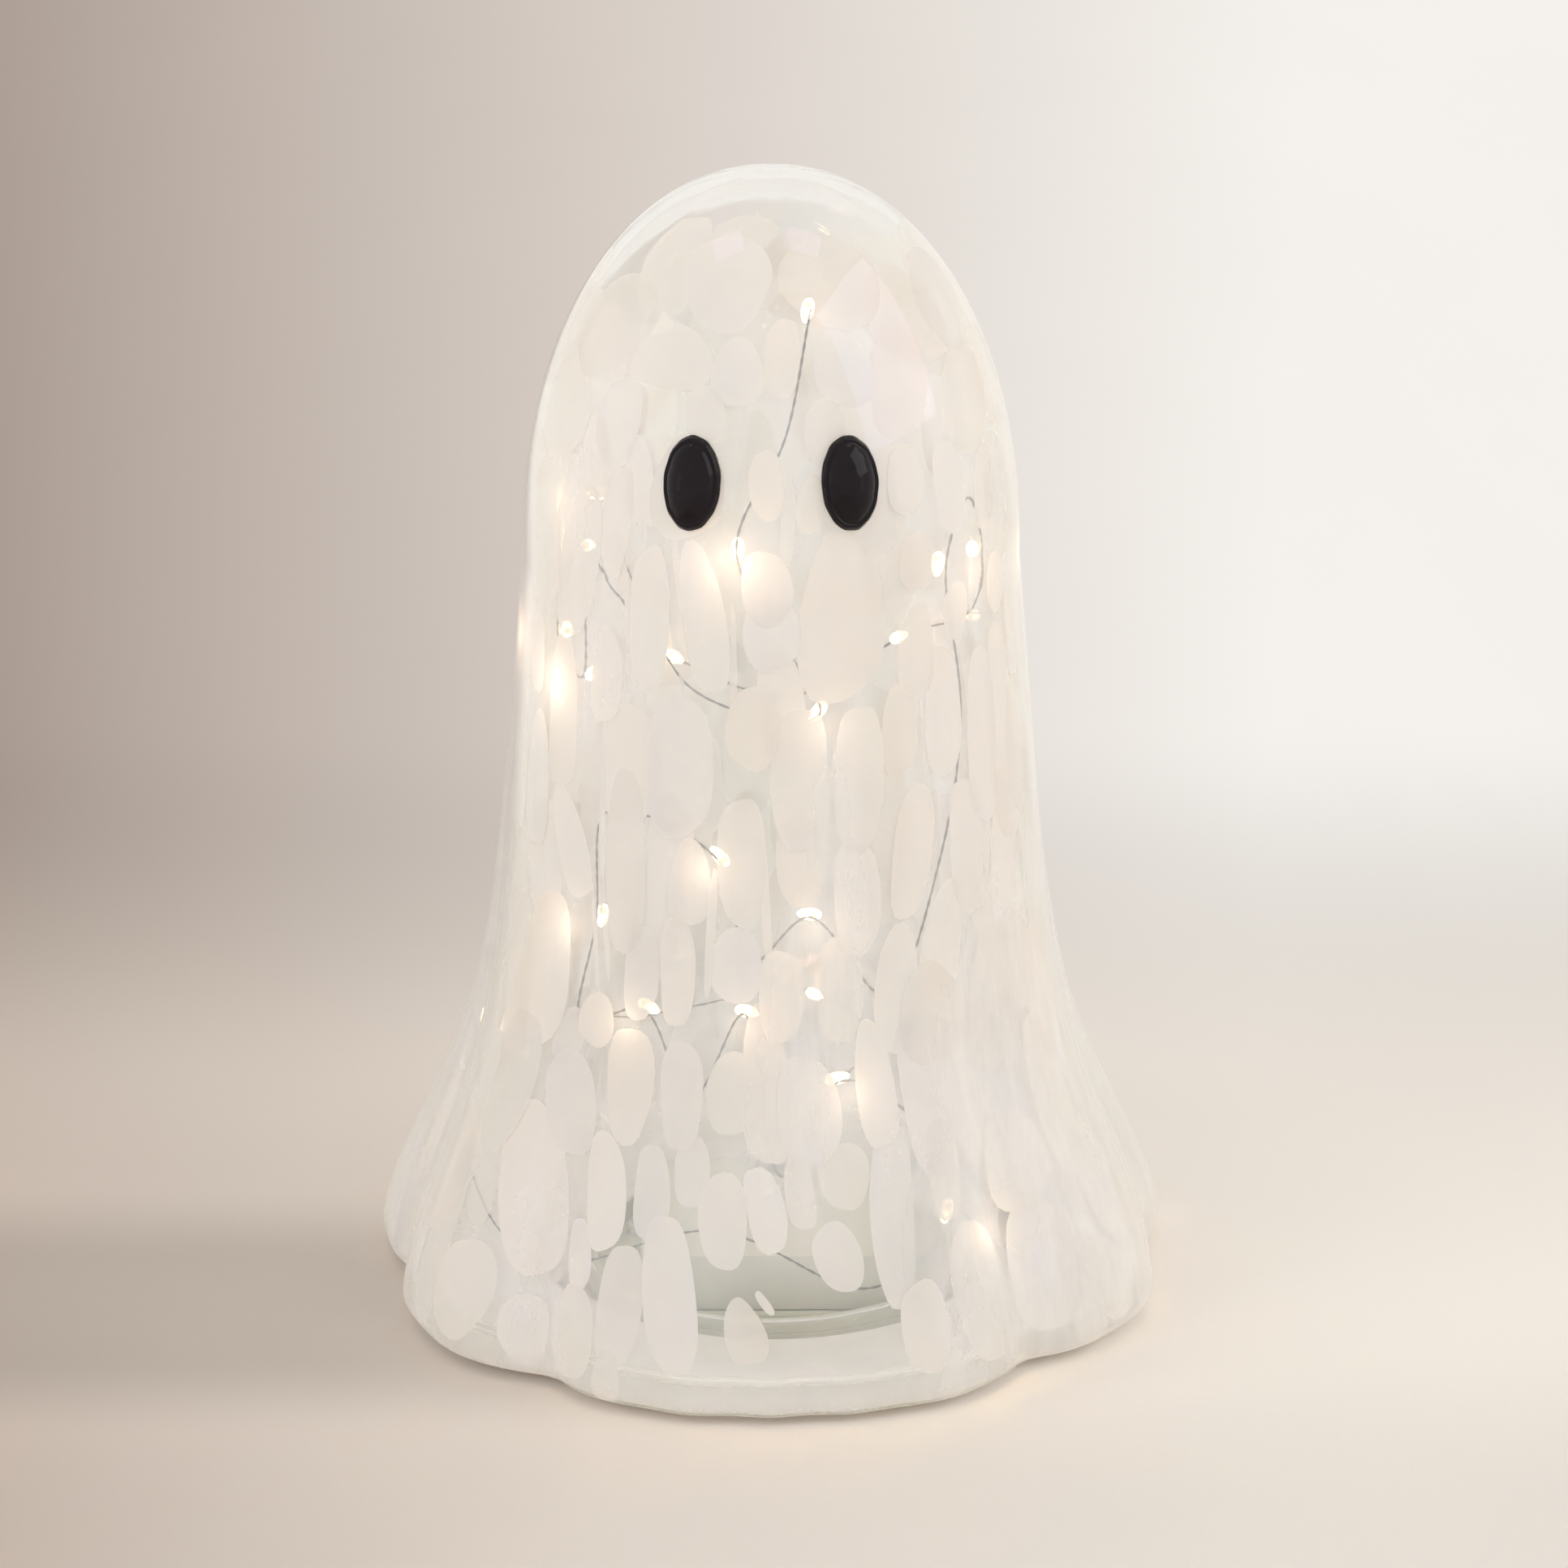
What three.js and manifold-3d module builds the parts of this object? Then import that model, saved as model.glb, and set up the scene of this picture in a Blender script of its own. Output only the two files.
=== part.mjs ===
// Lit glass ghost figurine, built as its real pieces. Millimetres, +Z up, front towards -Y.
// The origin is on the table, at the middle of the base. Angles go round from the front, + to +X.
import * as THREE from 'three';
import Module from 'manifold-3d';
import { mergeVertices } from 'three/addons/utils/BufferGeometryUtils.js';

const wasm = await Module();
wasm.setup();

// Glass body
const overall_height = 305;
const shoulder_height = 205;
const shoulder_radius = 64.8;
const dome_roundness = 2.1;
const hem_radius = 102.4;
const hem_height = 9;
const hem_corner = 4;
const flare_share = 0.45;
const flare_power = 2.9;
const dome_wall = 3.2;
const hem_wall = 5;
const glass_floor = 6;
const inner_corner = 6;
const base_hole_radius = 52;
const fold_top = 250;
const fold_power = 2.5;
const front_fold_dip = 3;

// Hem folds: each runs from its own valley to the next one's
const folds = [
  { valley_angle: -83, valley: -6, crest: 3.5, roundness: 0.75, dip: 0, columns: 7 },
  { valley_angle: -36, valley: -7, crest: 2, roundness: 0.45, dip: front_fold_dip, columns: 12 },
  { valley_angle: 45, valley: -8.5, crest: 4, roundness: 0.75, dip: 0, columns: 7 },
  { valley_angle: 89, valley: -2, crest: 10, roundness: 0.75, dip: 0, columns: 7 },
  { valley_angle: 136, valley: -4, crest: 5, roundness: 0.75, dip: 0, columns: 7 },
  { valley_angle: 180, valley: -5, crest: 5.5, roundness: 0.75, dip: 0, columns: 7 },
  { valley_angle: 230, valley: -5, crest: 8.5, roundness: 0.75, dip: 0, columns: 7 },
];

// Eyes
const eye_width = 14.9;
const eye_length = 23.7;
const eye_depth = 5.2;
const eye_angle = 18.4;
const eye_height = 237.8;

// Feet
const foot_height = 3;
const foot_radius = 4.5;
const foot_inset = 14;
const foot_turn = -7;

// Base housing, seal and battery case
const seat_gap = 0.3;
const solder_gap = 0.1;
const flange_radius = 57;
const flange_bottom = 0.9;
const flange_thickness = 1.5;
const seal_width = 4;
const spigot_gap = 0.5;
const spigot_wall = 1.6;
const spigot_top = 8;
const case_wall = 1.6;
const channel_width = 2.4;
const rib_wall = 1.2;
const bay_reach = 31.8;
const board_bay_depth = 16.4;
const grommet_radius = 3;
const grommet_lip = 1.2;
const grommet_lip_height = 1.6;
const grommet_margin = 1;

// Cells and contacts
const cell_radius = 7.1;
const cell_length = 49.3;
const nub_radius = 2.7;
const nub_length = 1.2;
const cell_chamfer = 0.6;
const cell_pitch = 15;
const contact_thickness = 0.4;
const contact_width = 12;
const contact_height = 10.4;
const spring_length = 6.6;
const spring_radius = 3.2;
const spring_wire = 0.4;
const spring_turns = 4;

// Door, hinge and screw
const door_thickness = 1.2;
const door_gap = 0.4;
const hinge_knuckle = 1.7;
const hinge_pin_radius = 0.6;
const hinge_offset = 3.1;
const hinge_rise = 1;
const hinge_barrel_length = 36;
const hinge_lug_length = 7;
const screw_head_radius = 2.6;
const screw_head_height = 0.9;
const screw_shank_radius = 1.25;
const screw_reach = 6.1;
const screw_clearance = 0.55;
const screw_cross = 3.2;
const screw_cross_width = 0.7;
const screw_cross_depth = 0.5;
const boss_wall = 1.6;
const boss_roof = 1;
const boss_web = 4;
const tab_width = 14;
const tab_margin = 1.3;

// Switch, board and screws of the case
const board_thickness = 1.6;
const board_underside = 11.5;
const board_margin = 0.4;
const board_post_radius = 2;
const board_post_inset = 4.4;
const chip_length = 5;
const chip_width = 4;
const chip_height = 1.5;
const chip_offset = 14.5;
const crystal_radius = 1;
const crystal_length = 5.5;
const crystal_offset = 6.8;
const capacitor_radius = 1.3;
const capacitor_height = 2;
const capacitor_x = 13;
const switch_x = 16;
const switch_travel = 2;
const switch_body_length = 13;
const switch_body_width = 7;
const switch_body_rise = 1;
const switch_margin = 1.5;
const knob_length = 4;
const knob_width = 3;
const knob_slot_gap = 0.5;
const knob_groove = 0.5;
const knob_groove_depth = 0.4;
const knob_groove_pitch = 1.2;
const case_screw_head = 2.3;
const case_screw_head_height = 1.4;
const case_screw_shank = 1.2;
const case_lug_radius = 3.5;
const case_lug_height = 2.5;

// String of lights
const wire_radius = 0.4;
const light_radius = 1.6;
const light_length = 6.4;
const lead_radius = 0.7;
const lead_notch = 2.4;
const wire_clearance = 7;

// Cutters reach past a face by this much, and joined pieces reach into each other by it
const over = 1;
const bite = 0.2;
const deg = Math.PI / 180;
const glass_bottom = foot_height;
const floor_top = glass_bottom + glass_floor;
const flange_top = flange_bottom + flange_thickness;

function mix(a, b, t) {
  return a + (b - a) * t;
}

// Share of the flare reached at height z: a straight part plus a sine-squared sweep
function flareShare(z) {
  const t = THREE.MathUtils.clamp((shoulder_height - z) / (shoulder_height - hem_height), 0, 1);
  return flare_share * t + (1 - flare_share) * Math.sin(0.5 * Math.PI * t ** flare_power) ** 2;
}

// How far the hem's folds stand out at an angle: valleys are creases, crests are rounded
function foldOffset(angle) {
  const first = folds[0].valley_angle;
  const turned = first + THREE.MathUtils.euclideanModulo(angle - first, 360);
  const last = folds.findLastIndex((fold) => fold.valley_angle <= turned + 1e-9);
  const fold = folds[last];
  const next = folds[(last + 1) % folds.length];
  const end = last + 1 < folds.length ? next.valley_angle : first + 360;
  const t = (turned - fold.valley_angle) / (end - fold.valley_angle);
  const arch = Math.sin(Math.PI * THREE.MathUtils.clamp(t, 0, 1));
  const rise = fold.crest - (fold.valley + next.valley) / 2;
  return mix(fold.valley, next.valley, t) + rise * arch ** fold.roundness - fold.dip * arch ** 4;
}

// The folds fade out towards the dome
function foldStrength(z) {
  const t = THREE.MathUtils.clamp((fold_top - z) / (fold_top - hem_height), 0, 1);
  return t ** fold_power;
}

// Radius of a smooth dome over a body that flares to the hem, for the outer or the inner surface
function plainRadius(z, wall) {
  if (z <= shoulder_height) {
    return mix(shoulder_radius, hem_radius, flareShare(z)) - wall;
  }
  const t = (z - shoulder_height) / (overall_height - wall - shoulder_height);
  return (shoulder_radius - wall) * Math.max(0, 1 - t ** dome_roundness) ** (1 / dome_roundness);
}

function wallAt(z) {
  return mix(dome_wall, hem_wall, flareShare(z));
}

function outerRadius(angle, z) {
  return plainRadius(z, 0) + foldStrength(z) * foldOffset(angle);
}

function innerRadius(angle, z) {
  return plainRadius(z, wallAt(z)) + foldStrength(z) * foldOffset(angle);
}

function polar(angle, radius, z) {
  return new THREE.Vector3(radius * Math.sin(angle * deg), -radius * Math.cos(angle * deg), z);
}

// Meshes and solids

function material(color, roughness, metalness, extra = {}) {
  return new THREE.MeshStandardMaterial({ color, roughness, metalness, ...extra });
}

function solid(geometry) {
  const bare = geometry.clone();
  bare.deleteAttribute('normal');
  bare.deleteAttribute('uv');
  const merged = mergeVertices(bare, 1e-4);
  const mesh = new wasm.Mesh({
    numProp: 3,
    vertProperties: new Float32Array(merged.attributes.position.array),
    triVerts: new Uint32Array(merged.index.array),
  });
  return new wasm.Manifold(mesh);
}

function geometryOf(body) {
  const mesh = body.getMesh();
  const geometry = new THREE.BufferGeometry();
  geometry.setAttribute('position', new THREE.BufferAttribute(mesh.vertProperties, 3));
  geometry.setIndex(new THREE.BufferAttribute(mesh.triVerts, 1));
  return geometry;
}

function box(x0, x1, y0, y1, z0, z1) {
  const geometry = new THREE.BoxGeometry(x1 - x0, y1 - y0, z1 - z0);
  return geometry.translate((x0 + x1) / 2, (y0 + y1) / 2, (z0 + z1) / 2);
}

function post(x, y, radius, z0, z1, sides = 20) {
  const geometry = new THREE.CylinderGeometry(radius, radius, z1 - z0, sides);
  return geometry.rotateX(Math.PI / 2).translate(x, y, (z0 + z1) / 2);
}

function rod(x0, x1, y, z, radius, sides = 16) {
  const geometry = new THREE.CylinderGeometry(radius, radius, x1 - x0, sides);
  return geometry.rotateZ(Math.PI / 2).translate((x0 + x1) / 2, y, z);
}

function join(first, ...others) {
  return others.reduce((body, geometry) => body.add(solid(geometry)), solid(first));
}

function cut(body, ...tools) {
  return tools.reduce((left, geometry) => left.subtract(solid(geometry)), body);
}

// A closed skin from rings of points, each ring as long as the others, with a point at each end
function ringSkin(start, rings, end) {
  const points = [start, ...rings.flat(), end];
  const count = rings[0].length;
  const index = [];
  for (let i = 0; i < count; i += 1) {
    const j = (i + 1) % count;
    index.push(0, 1 + i, 1 + j);
    for (let row = 0; row < rings.length - 1; row += 1) {
      const a = 1 + row * count;
      const b = a + count;
      index.push(a + i, b + i, a + j, a + j, b + i, b + j);
    }
    const a = 1 + (rings.length - 1) * count;
    index.push(a + i, points.length - 1, a + j);
  }
  const geometry = new THREE.BufferGeometry().setFromPoints(points);
  geometry.setIndex(index);
  return geometry;
}

// A tube along a curve whose steps fall on the curve's own points
function tube(points, radius, stepsPerSpan, sides = 8) {
  const path = new THREE.CatmullRomCurve3(points);
  path.getUtoTmapping = (u) => u;
  const section = new THREE.Shape();
  for (let i = 0; i < sides; i += 1) {
    const turn = (2 * Math.PI * i) / sides;
    const place = [radius * Math.cos(turn), radius * Math.sin(turn)];
    if (i === 0) {
      section.moveTo(...place);
    } else {
      section.lineTo(...place);
    }
  }
  const steps = stepsPerSpan * (points.length - 1);
  return new THREE.ExtrudeGeometry(section, { steps, extrudePath: path });
}

const group = new THREE.Group();

function add(name, geometry, look) {
  const mesh = new THREE.Mesh(geometry, look);
  mesh.name = name;
  group.add(mesh);
  return mesh;
}

// Finishes
const clear_glass = material('#e9ebe6', 0.05, 0, { transparent: true, opacity: 0.35 });
const dark_glass = material('#1d191c', 0.08, 0);
const clear_rubber = material('#d9d6cf', 0.4, 0);
const pale_green_plastic = material('#a8ae97', 0.45, 0);
const seal_rubber = material('#dcd8ce', 0.6, 0);
const steel = material('#b9b7b2', 0.3, 1);
const nickel = material('#c9c6bd', 0.28, 1);
const cell_sleeve = material('#3f4a44', 0.35, 0.3);
const board_green = material('#2f5a3c', 0.5, 0);
const black_plastic = material('#26262a', 0.5, 0);
const white_plastic = material('#e8e6e0', 0.45, 0);
const wire_silver = material('#c4bdb2', 0.3, 0.9);
const light_clear = material('#fff0cf', 0.15, 0, { emissive: '#ffd98a', emissiveIntensity: 1 });
const lead_red = material('#9a2b25', 0.5, 0);

// Angles of the glass columns: evenly across each fold, so that each crease falls on a column
function columnAngles() {
  const angles = [];
  folds.forEach((fold, k) => {
    const last = k === folds.length - 1;
    const end = last ? folds[0].valley_angle + 360 : folds[k + 1].valley_angle;
    for (let i = 0; i < fold.columns; i += 1) {
      angles.push(mix(fold.valley_angle, end, i / fold.columns));
    }
  });
  return angles;
}

const columns = columnAngles();
const dome_rows = 8;
const body_rows = 10;
const corner_rows = 2;

// Rings down the dome, from just below the pole to the shoulder, moved out by an offset
function domeRings(wall, offset, rows) {
  const rings = [];
  for (let i = 1; i <= rows; i += 1) {
    const lift = Math.cos((0.5 * Math.PI * i) / rows) ** (2 / dome_roundness);
    const reach = Math.sin((0.5 * Math.PI * i) / rows) ** (2 / dome_roundness);
    const rise = overall_height - wall + offset - shoulder_height;
    const z = shoulder_height + rise * Math.max(0, lift);
    const radius = (shoulder_radius - wall + offset) * reach;
    rings.push(columns.map((a) => polar(a, radius + foldStrength(z) * foldOffset(a), z)));
  }
  return rings;
}

// Rings down the body, below the shoulder and as far as a height
function bodyRings(radiusAt, lowest, rows) {
  const rings = [];
  for (let i = 1; i <= rows; i += 1) {
    const z = mix(shoulder_height, lowest, i / rows);
    rings.push(columns.map((a) => polar(a, radiusAt(a, z), z)));
  }
  return rings;
}

// Quarter-round rings from the wall in to a flat level
function cornerRings(radiusAt, wallHeight, level, inset) {
  const rings = [];
  for (let i = 1; i <= corner_rows; i += 1) {
    const turn = (0.5 * Math.PI * i) / corner_rows;
    const z = mix(wallHeight, level, Math.sin(turn));
    const pull = inset * (1 - Math.cos(turn));
    rings.push(columns.map((a) => polar(a, radiusAt(a, wallHeight) - pull, z)));
  }
  return rings;
}

function circleRing(radius, z) {
  return columns.map((a) => polar(a, radius, z));
}

function glassBody() {
  const outer = [
    ...domeRings(0, 0, dome_rows),
    ...bodyRings(outerRadius, hem_height, body_rows),
    ...cornerRings(outerRadius, hem_height, glass_bottom, hem_corner),
  ];
  const hole = [circleRing(base_hole_radius, glass_bottom), circleRing(base_hole_radius, floor_top)];
  const inner = [
    ...domeRings(dome_wall, 0, dome_rows - 1),
    ...bodyRings(innerRadius, floor_top + inner_corner, body_rows - 2),
    ...cornerRings(innerRadius, floor_top + inner_corner, floor_top, inner_corner),
  ];
  const top = new THREE.Vector3(0, 0, overall_height);
  const inside_top = new THREE.Vector3(0, 0, overall_height - dome_wall);
  return ringSkin(top, [...outer, ...hole, ...inner.reverse()], inside_top);
}

// The space that the glass fills, grown by a gap, for cutting what sits on its outside
function glassEnvelope(gap) {
  const grown = (angle, z) => outerRadius(angle, z) + gap;
  const rings = [
    ...domeRings(0, gap, dome_rows),
    ...bodyRings(grown, hem_height, body_rows),
  ];
  const top = new THREE.Vector3(0, 0, overall_height + gap);
  return solid(ringSkin(top, rings, new THREE.Vector3(0, 0, hem_height)));
}

add('glass_body', glassBody(), clear_glass);

// A domed oval stone, its back shaped to the glass
function eye(angle) {
  const here = polar(angle, outerRadius(angle, eye_height), eye_height);
  const above = polar(angle, outerRadius(angle, eye_height + 1), eye_height + 1);
  const lean = Math.atan2(here.clone().setZ(0).length() - above.clone().setZ(0).length(), 1);
  const stone = new THREE.SphereGeometry(1, 20, 12);
  stone.scale(eye_width / 2, eye_depth, eye_length / 2);
  stone.rotateX(-lean).rotateZ(angle * deg).translate(here.x, here.y, here.z);
  return geometryOf(solid(stone).subtract(glassEnvelope(seat_gap)));
}

add('eye_left', eye(-eye_angle), dark_glass);
add('eye_right', eye(eye_angle), dark_glass);

// Feet under the glass floor, a quarter turn apart
['foot_front', 'foot_right', 'foot_back', 'foot_left'].forEach((name, k) => {
  const angle = foot_turn + 90 * k;
  const place = polar(angle, hem_radius - foot_inset - foot_radius, 0);
  add(name, post(place.x, place.y, foot_radius, 0, foot_height - seat_gap, 24), clear_rubber);
});

// Battery bay: cells lie across, side by side, with the board bay behind them
const bay_half = cell_length / 2 + (nub_length + spring_length + 3 * seat_gap) / 2 + contact_thickness;
const cell_shift = (spring_length + seat_gap - nub_length) / 2;
const cell_axis_z = flange_bottom + door_thickness + seat_gap + cell_radius;
const bay_front = -bay_reach;
const bay_back = bay_front + 3 * cell_pitch + 2 * seat_gap;
const bay_top = cell_axis_z + cell_radius + seat_gap;
const board_bay_front = bay_back + case_wall;
const board_bay_back = board_bay_front + board_bay_depth;
const channel_x = -bay_half - rib_wall - channel_width;
const case_left = channel_x - case_wall;
const case_right = bay_half + case_wall;
const case_front = bay_front - case_wall;
const case_back = board_bay_back + case_wall;
const case_bottom = flange_top + seat_gap;
const case_top = bay_top + case_wall;
const cell_rows = [0, 1, 2].map((k) => bay_front + seat_gap + cell_pitch * (k + 0.5));

// Hinge line of the door, in front of the case
const hinge_y = case_front - hinge_offset;
const hinge_z = flange_bottom + hinge_rise;
const door_half = bay_half - door_gap;
const door_back = bay_back - door_gap;
const boss_radius = screw_shank_radius + screw_clearance + boss_wall;
const screw_y = board_bay_front + boss_radius;
const screw_head_low = flange_bottom - 2 * seat_gap;
const screw_head_top = screw_head_low + screw_head_height;
const screw_tip = screw_head_top + screw_reach;
const tab_back = screw_y + screw_head_radius + tab_margin;
const hinge_bore = hinge_pin_radius + seat_gap;
const lug_start = hinge_barrel_length / 2 + door_gap;
const lug_end = lug_start + hinge_lug_length;
const switch_y = board_bay_back - switch_body_width / 2 - switch_margin;
const lug_reach = case_screw_head + 2 * seat_gap;
const case_screws = [
  [case_left - lug_reach, cell_rows[0]],
  [case_right + lug_reach, cell_rows[0]],
  [case_left - lug_reach, board_bay_front + case_lug_radius],
  [case_right + lug_reach, board_bay_front + case_lug_radius],
];
const exit_x = 0;
const exit_y = board_bay_back - grommet_radius - grommet_lip - grommet_margin;

function hingeLugs() {
  return join(
    rod(-lug_end, -lug_start, hinge_y, hinge_z, hinge_knuckle),
    rod(lug_start, lug_end, hinge_y, hinge_z, hinge_knuckle),
  );
}

// Flange with a spigot ring, cut for the door, its barrel, its tab and the switch knob
function baseHousing() {
  const plate = join(
    post(0, 0, flange_radius, flange_bottom, flange_top, 48),
    post(0, 0, base_hole_radius - spigot_gap, flange_bottom, spigot_top, 48),
  );
  const inside = base_hole_radius - spigot_gap - spigot_wall;
  const notch = hinge_knuckle + door_gap;
  const tab_half = tab_width / 2 + door_gap;
  const slot_half = knob_length / 2 + switch_travel + knob_slot_gap;
  const slot_side = knob_width / 2 + knob_slot_gap;
  const low = flange_bottom - over;
  const high = spigot_top + over;
  const open = cut(
    plate,
    post(0, 0, inside, flange_top, high, 48),
    box(-bay_half, bay_half, hinge_y + notch, bay_back, low, high),
    box(-lug_start, lug_start, hinge_y - notch, hinge_y + notch + over, low, high),
    box(-tab_half, tab_half, bay_back - over, tab_back + door_gap, low, high),
    box(switch_x - slot_half, switch_x + slot_half, switch_y - slot_side, switch_y + slot_side, low, high),
  );
  const post_y = board_bay_back - board_post_inset / 2;
  const posts = [case_left + board_post_inset, case_right - board_post_inset].map((x) => (
    post(x, post_y, board_post_radius, flange_top - bite, board_underside - solder_gap, 12)
  ));
  const bores = case_screws.map(([x, y]) => post(x, y, case_screw_shank + seat_gap, low, high, 16));
  const bore = rod(-lug_end - over, lug_end + over, hinge_y, hinge_z, hinge_bore);
  return geometryOf(cut(open.add(hingeLugs()).add(join(...posts)), bore, ...bores));
}

// Tub over the cells and the board, with a side channel for a lead and a boss for the door screw
function batteryCase() {
  const lug_top = case_bottom + case_lug_height;
  const shell = join(
    box(case_left, case_right, case_front, case_back, case_bottom, case_top),
    ...case_screws.map(([x, y]) => post(x, y, case_lug_radius, case_bottom, lug_top)),
  );
  const low = case_bottom - over;
  const wide = 2 * lead_notch;
  const hollow = cut(
    shell,
    box(-bay_half, bay_half, bay_front, bay_back, low, bay_top),
    box(channel_x, channel_x + channel_width, bay_front, board_bay_back, low, bay_top),
    box(channel_x, bay_half, board_bay_front, board_bay_back, low, bay_top),
    box(channel_x, over - bay_half, cell_rows[0] - lead_notch, cell_rows[0] + lead_notch, cell_axis_z, bay_top),
    box(bay_half - wide, bay_half, bay_back - over, board_bay_front + over, bay_top - wide, bay_top),
  );
  const boss_top = screw_tip + boss_roof + boss_wall;
  const boss = join(
    post(0, screw_y, boss_radius, case_bottom, boss_top, 24),
    box(-boss_web / 2, boss_web / 2, board_bay_front - over, screw_y, case_bottom, boss_top),
  );
  const bores = [
    post(0, screw_y, screw_shank_radius + screw_clearance, low, screw_tip + boss_roof, 20),
    post(exit_x, exit_y, grommet_radius + seat_gap, bay_top - over, case_top + over, 20),
    ...case_screws.map(([x, y]) => post(x, y, case_screw_shank + seat_gap, low, lug_top + over, 16)),
  ];
  return geometryOf(cut(hollow.add(boss), ...bores));
}

add('base_housing', baseHousing(), pale_green_plastic);
add('battery_case', batteryCase(), pale_green_plastic);

// Ring of sealant between the flange and the glass floor
function baseSeal() {
  const inner = base_hole_radius + spigot_gap;
  const low = flange_top + solder_gap;
  const high = glass_bottom - solder_gap;
  const disc = solid(post(0, 0, inner + seal_width, low, high, 48));
  return geometryOf(cut(disc, post(0, 0, inner, low - over, high + over, 48)));
}

add('base_seal', baseSeal(), seal_rubber);

// Battery door with its barrel, tab and screw hole. Its front edge swings down past the flange.
function batteryDoor() {
  const top = flange_bottom + door_thickness;
  const barrel = hinge_barrel_length / 2;
  const edge = hinge_y + Math.hypot(hinge_knuckle + door_gap, hinge_rise) + door_gap;
  const plate = join(
    box(-door_half, door_half, edge, door_back, flange_bottom, top),
    box(-barrel, barrel, hinge_y, edge + over, flange_bottom, top),
    box(-tab_width / 2, tab_width / 2, door_back - over, tab_back, flange_bottom, top),
    rod(-barrel, barrel, hinge_y, hinge_z, hinge_knuckle),
  );
  const low = flange_bottom - over;
  return geometryOf(cut(
    plate,
    rod(-barrel - over, barrel + over, hinge_y, hinge_z, hinge_bore),
    post(0, screw_y, screw_head_radius + seat_gap, low, screw_head_top + seat_gap, 24),
    post(0, screw_y, screw_shank_radius + seat_gap, low, top + over, 20),
  ));
}

add('battery_door', batteryDoor(), pale_green_plastic);
add('hinge_pin', rod(-lug_end + seat_gap, lug_end - seat_gap, hinge_y, hinge_z, hinge_pin_radius, 12), steel);

// Cross-head screw that holds the door shut
function doorScrew() {
  const body = join(
    post(0, screw_y, screw_head_radius, screw_head_low, screw_head_top, 24),
    post(0, screw_y, screw_shank_radius, screw_head_top - bite, screw_tip, 16),
  );
  const long = screw_cross / 2;
  const side = screw_cross_width / 2;
  const low = screw_head_low - over;
  const floor = screw_head_low + screw_cross_depth;
  return geometryOf(cut(
    body,
    box(-long, long, screw_y - side, screw_y + side, low, floor),
    box(-side, side, screw_y - long, screw_y + long, low, floor),
  ));
}

add('door_screw', doorScrew(), steel);

// Four screws that hold the case down on the flange
case_screws.forEach(([x, y], k) => {
  const seat = case_bottom + case_lug_height + seat_gap;
  const body = join(
    post(x, y, case_screw_head, seat, seat + case_screw_head_height, 16),
    post(x, y, case_screw_shank, flange_bottom + seat_gap, seat + bite, 12),
  );
  add(`case_screw_${k + 1}`, geometryOf(body), steel);
});

// Cells, turned end for end in turn, with a spring at each flat end
function cellAt(y, facing) {
  const half = cell_length / 2;
  const profile = [
    [0, -half],
    [cell_radius - cell_chamfer, -half],
    [cell_radius, cell_chamfer - half],
    [cell_radius, half - cell_chamfer],
    [cell_radius - cell_chamfer, half],
    [nub_radius, half],
    [nub_radius, half + nub_length],
    [0, half + nub_length],
  ].map(([r, z]) => new THREE.Vector2(r, z));
  const cell = new THREE.LatheGeometry(profile, 24);
  cell.rotateZ((-facing * Math.PI) / 2);
  return geometryOf(solid(cell.translate(facing * cell_shift, y, cell_axis_z)));
}

const facings = [1, -1, 1];
const spring_start = bay_half - contact_thickness - 2 * seat_gap;

function springPoints() {
  const points = [];
  const steps = 8 * spring_turns;
  for (let i = 0; i <= steps; i += 1) {
    const turn = (2 * Math.PI * i) / 8;
    const along = spring_wire + (spring_length - 2 * spring_wire - seat_gap) * (i / steps);
    points.push(new THREE.Vector3(along, spring_radius * Math.cos(turn), spring_radius * Math.sin(turn)));
  }
  return points;
}

// Least gap of a coil to itself, between points at least half a turn apart
function leastGap(points, radius, apart) {
  let least = Infinity;
  points.forEach((a, i) => {
    points.slice(i + apart).forEach((b) => {
      least = Math.min(least, a.distanceTo(b) - 2 * radius);
    });
  });
  return least;
}

const coil = springPoints();
console.log(`least gap between spring turns ${leastGap(coil, spring_wire, 5).toFixed(2)} mm`);

facings.forEach((facing, k) => {
  add(`battery_${k + 1}`, cellAt(cell_rows[k], facing), cell_sleeve);
  const points = coil.map((p) => new THREE.Vector3(
    -facing * (spring_start - p.x),
    cell_rows[k] + p.y,
    cell_axis_z + p.z,
  ));
  add(`contact_spring_${k + 1}`, tube(points, spring_wire, 1, 5), nickel);
});

// Flat contacts on the end walls: single ones at the string's two ends, a bridge between others
function contact(side, first, last) {
  const outer = bay_half - seat_gap;
  const x = [side * outer, side * (outer - contact_thickness)].sort((a, b) => a - b);
  const half = contact_width / 2;
  const low = cell_axis_z - contact_height / 2;
  return box(x[0], x[1], cell_rows[first] - half, cell_rows[last] + half, low, low + contact_height);
}

add('contact_negative', contact(-1, 0, 0), nickel);
add('contact_bridge_left', contact(-1, 1, 2), nickel);
add('contact_bridge_right', contact(1, 0, 1), nickel);
add('contact_positive', contact(1, 2, 2), nickel);

// Circuit board on its posts, with the timer's parts and the switch
const board_top = board_underside + board_thickness;
add('circuit_board', box(
  channel_x + board_margin,
  bay_half - board_margin,
  board_bay_front + board_margin,
  board_bay_back - board_margin,
  board_underside,
  board_top,
), board_green);

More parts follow.
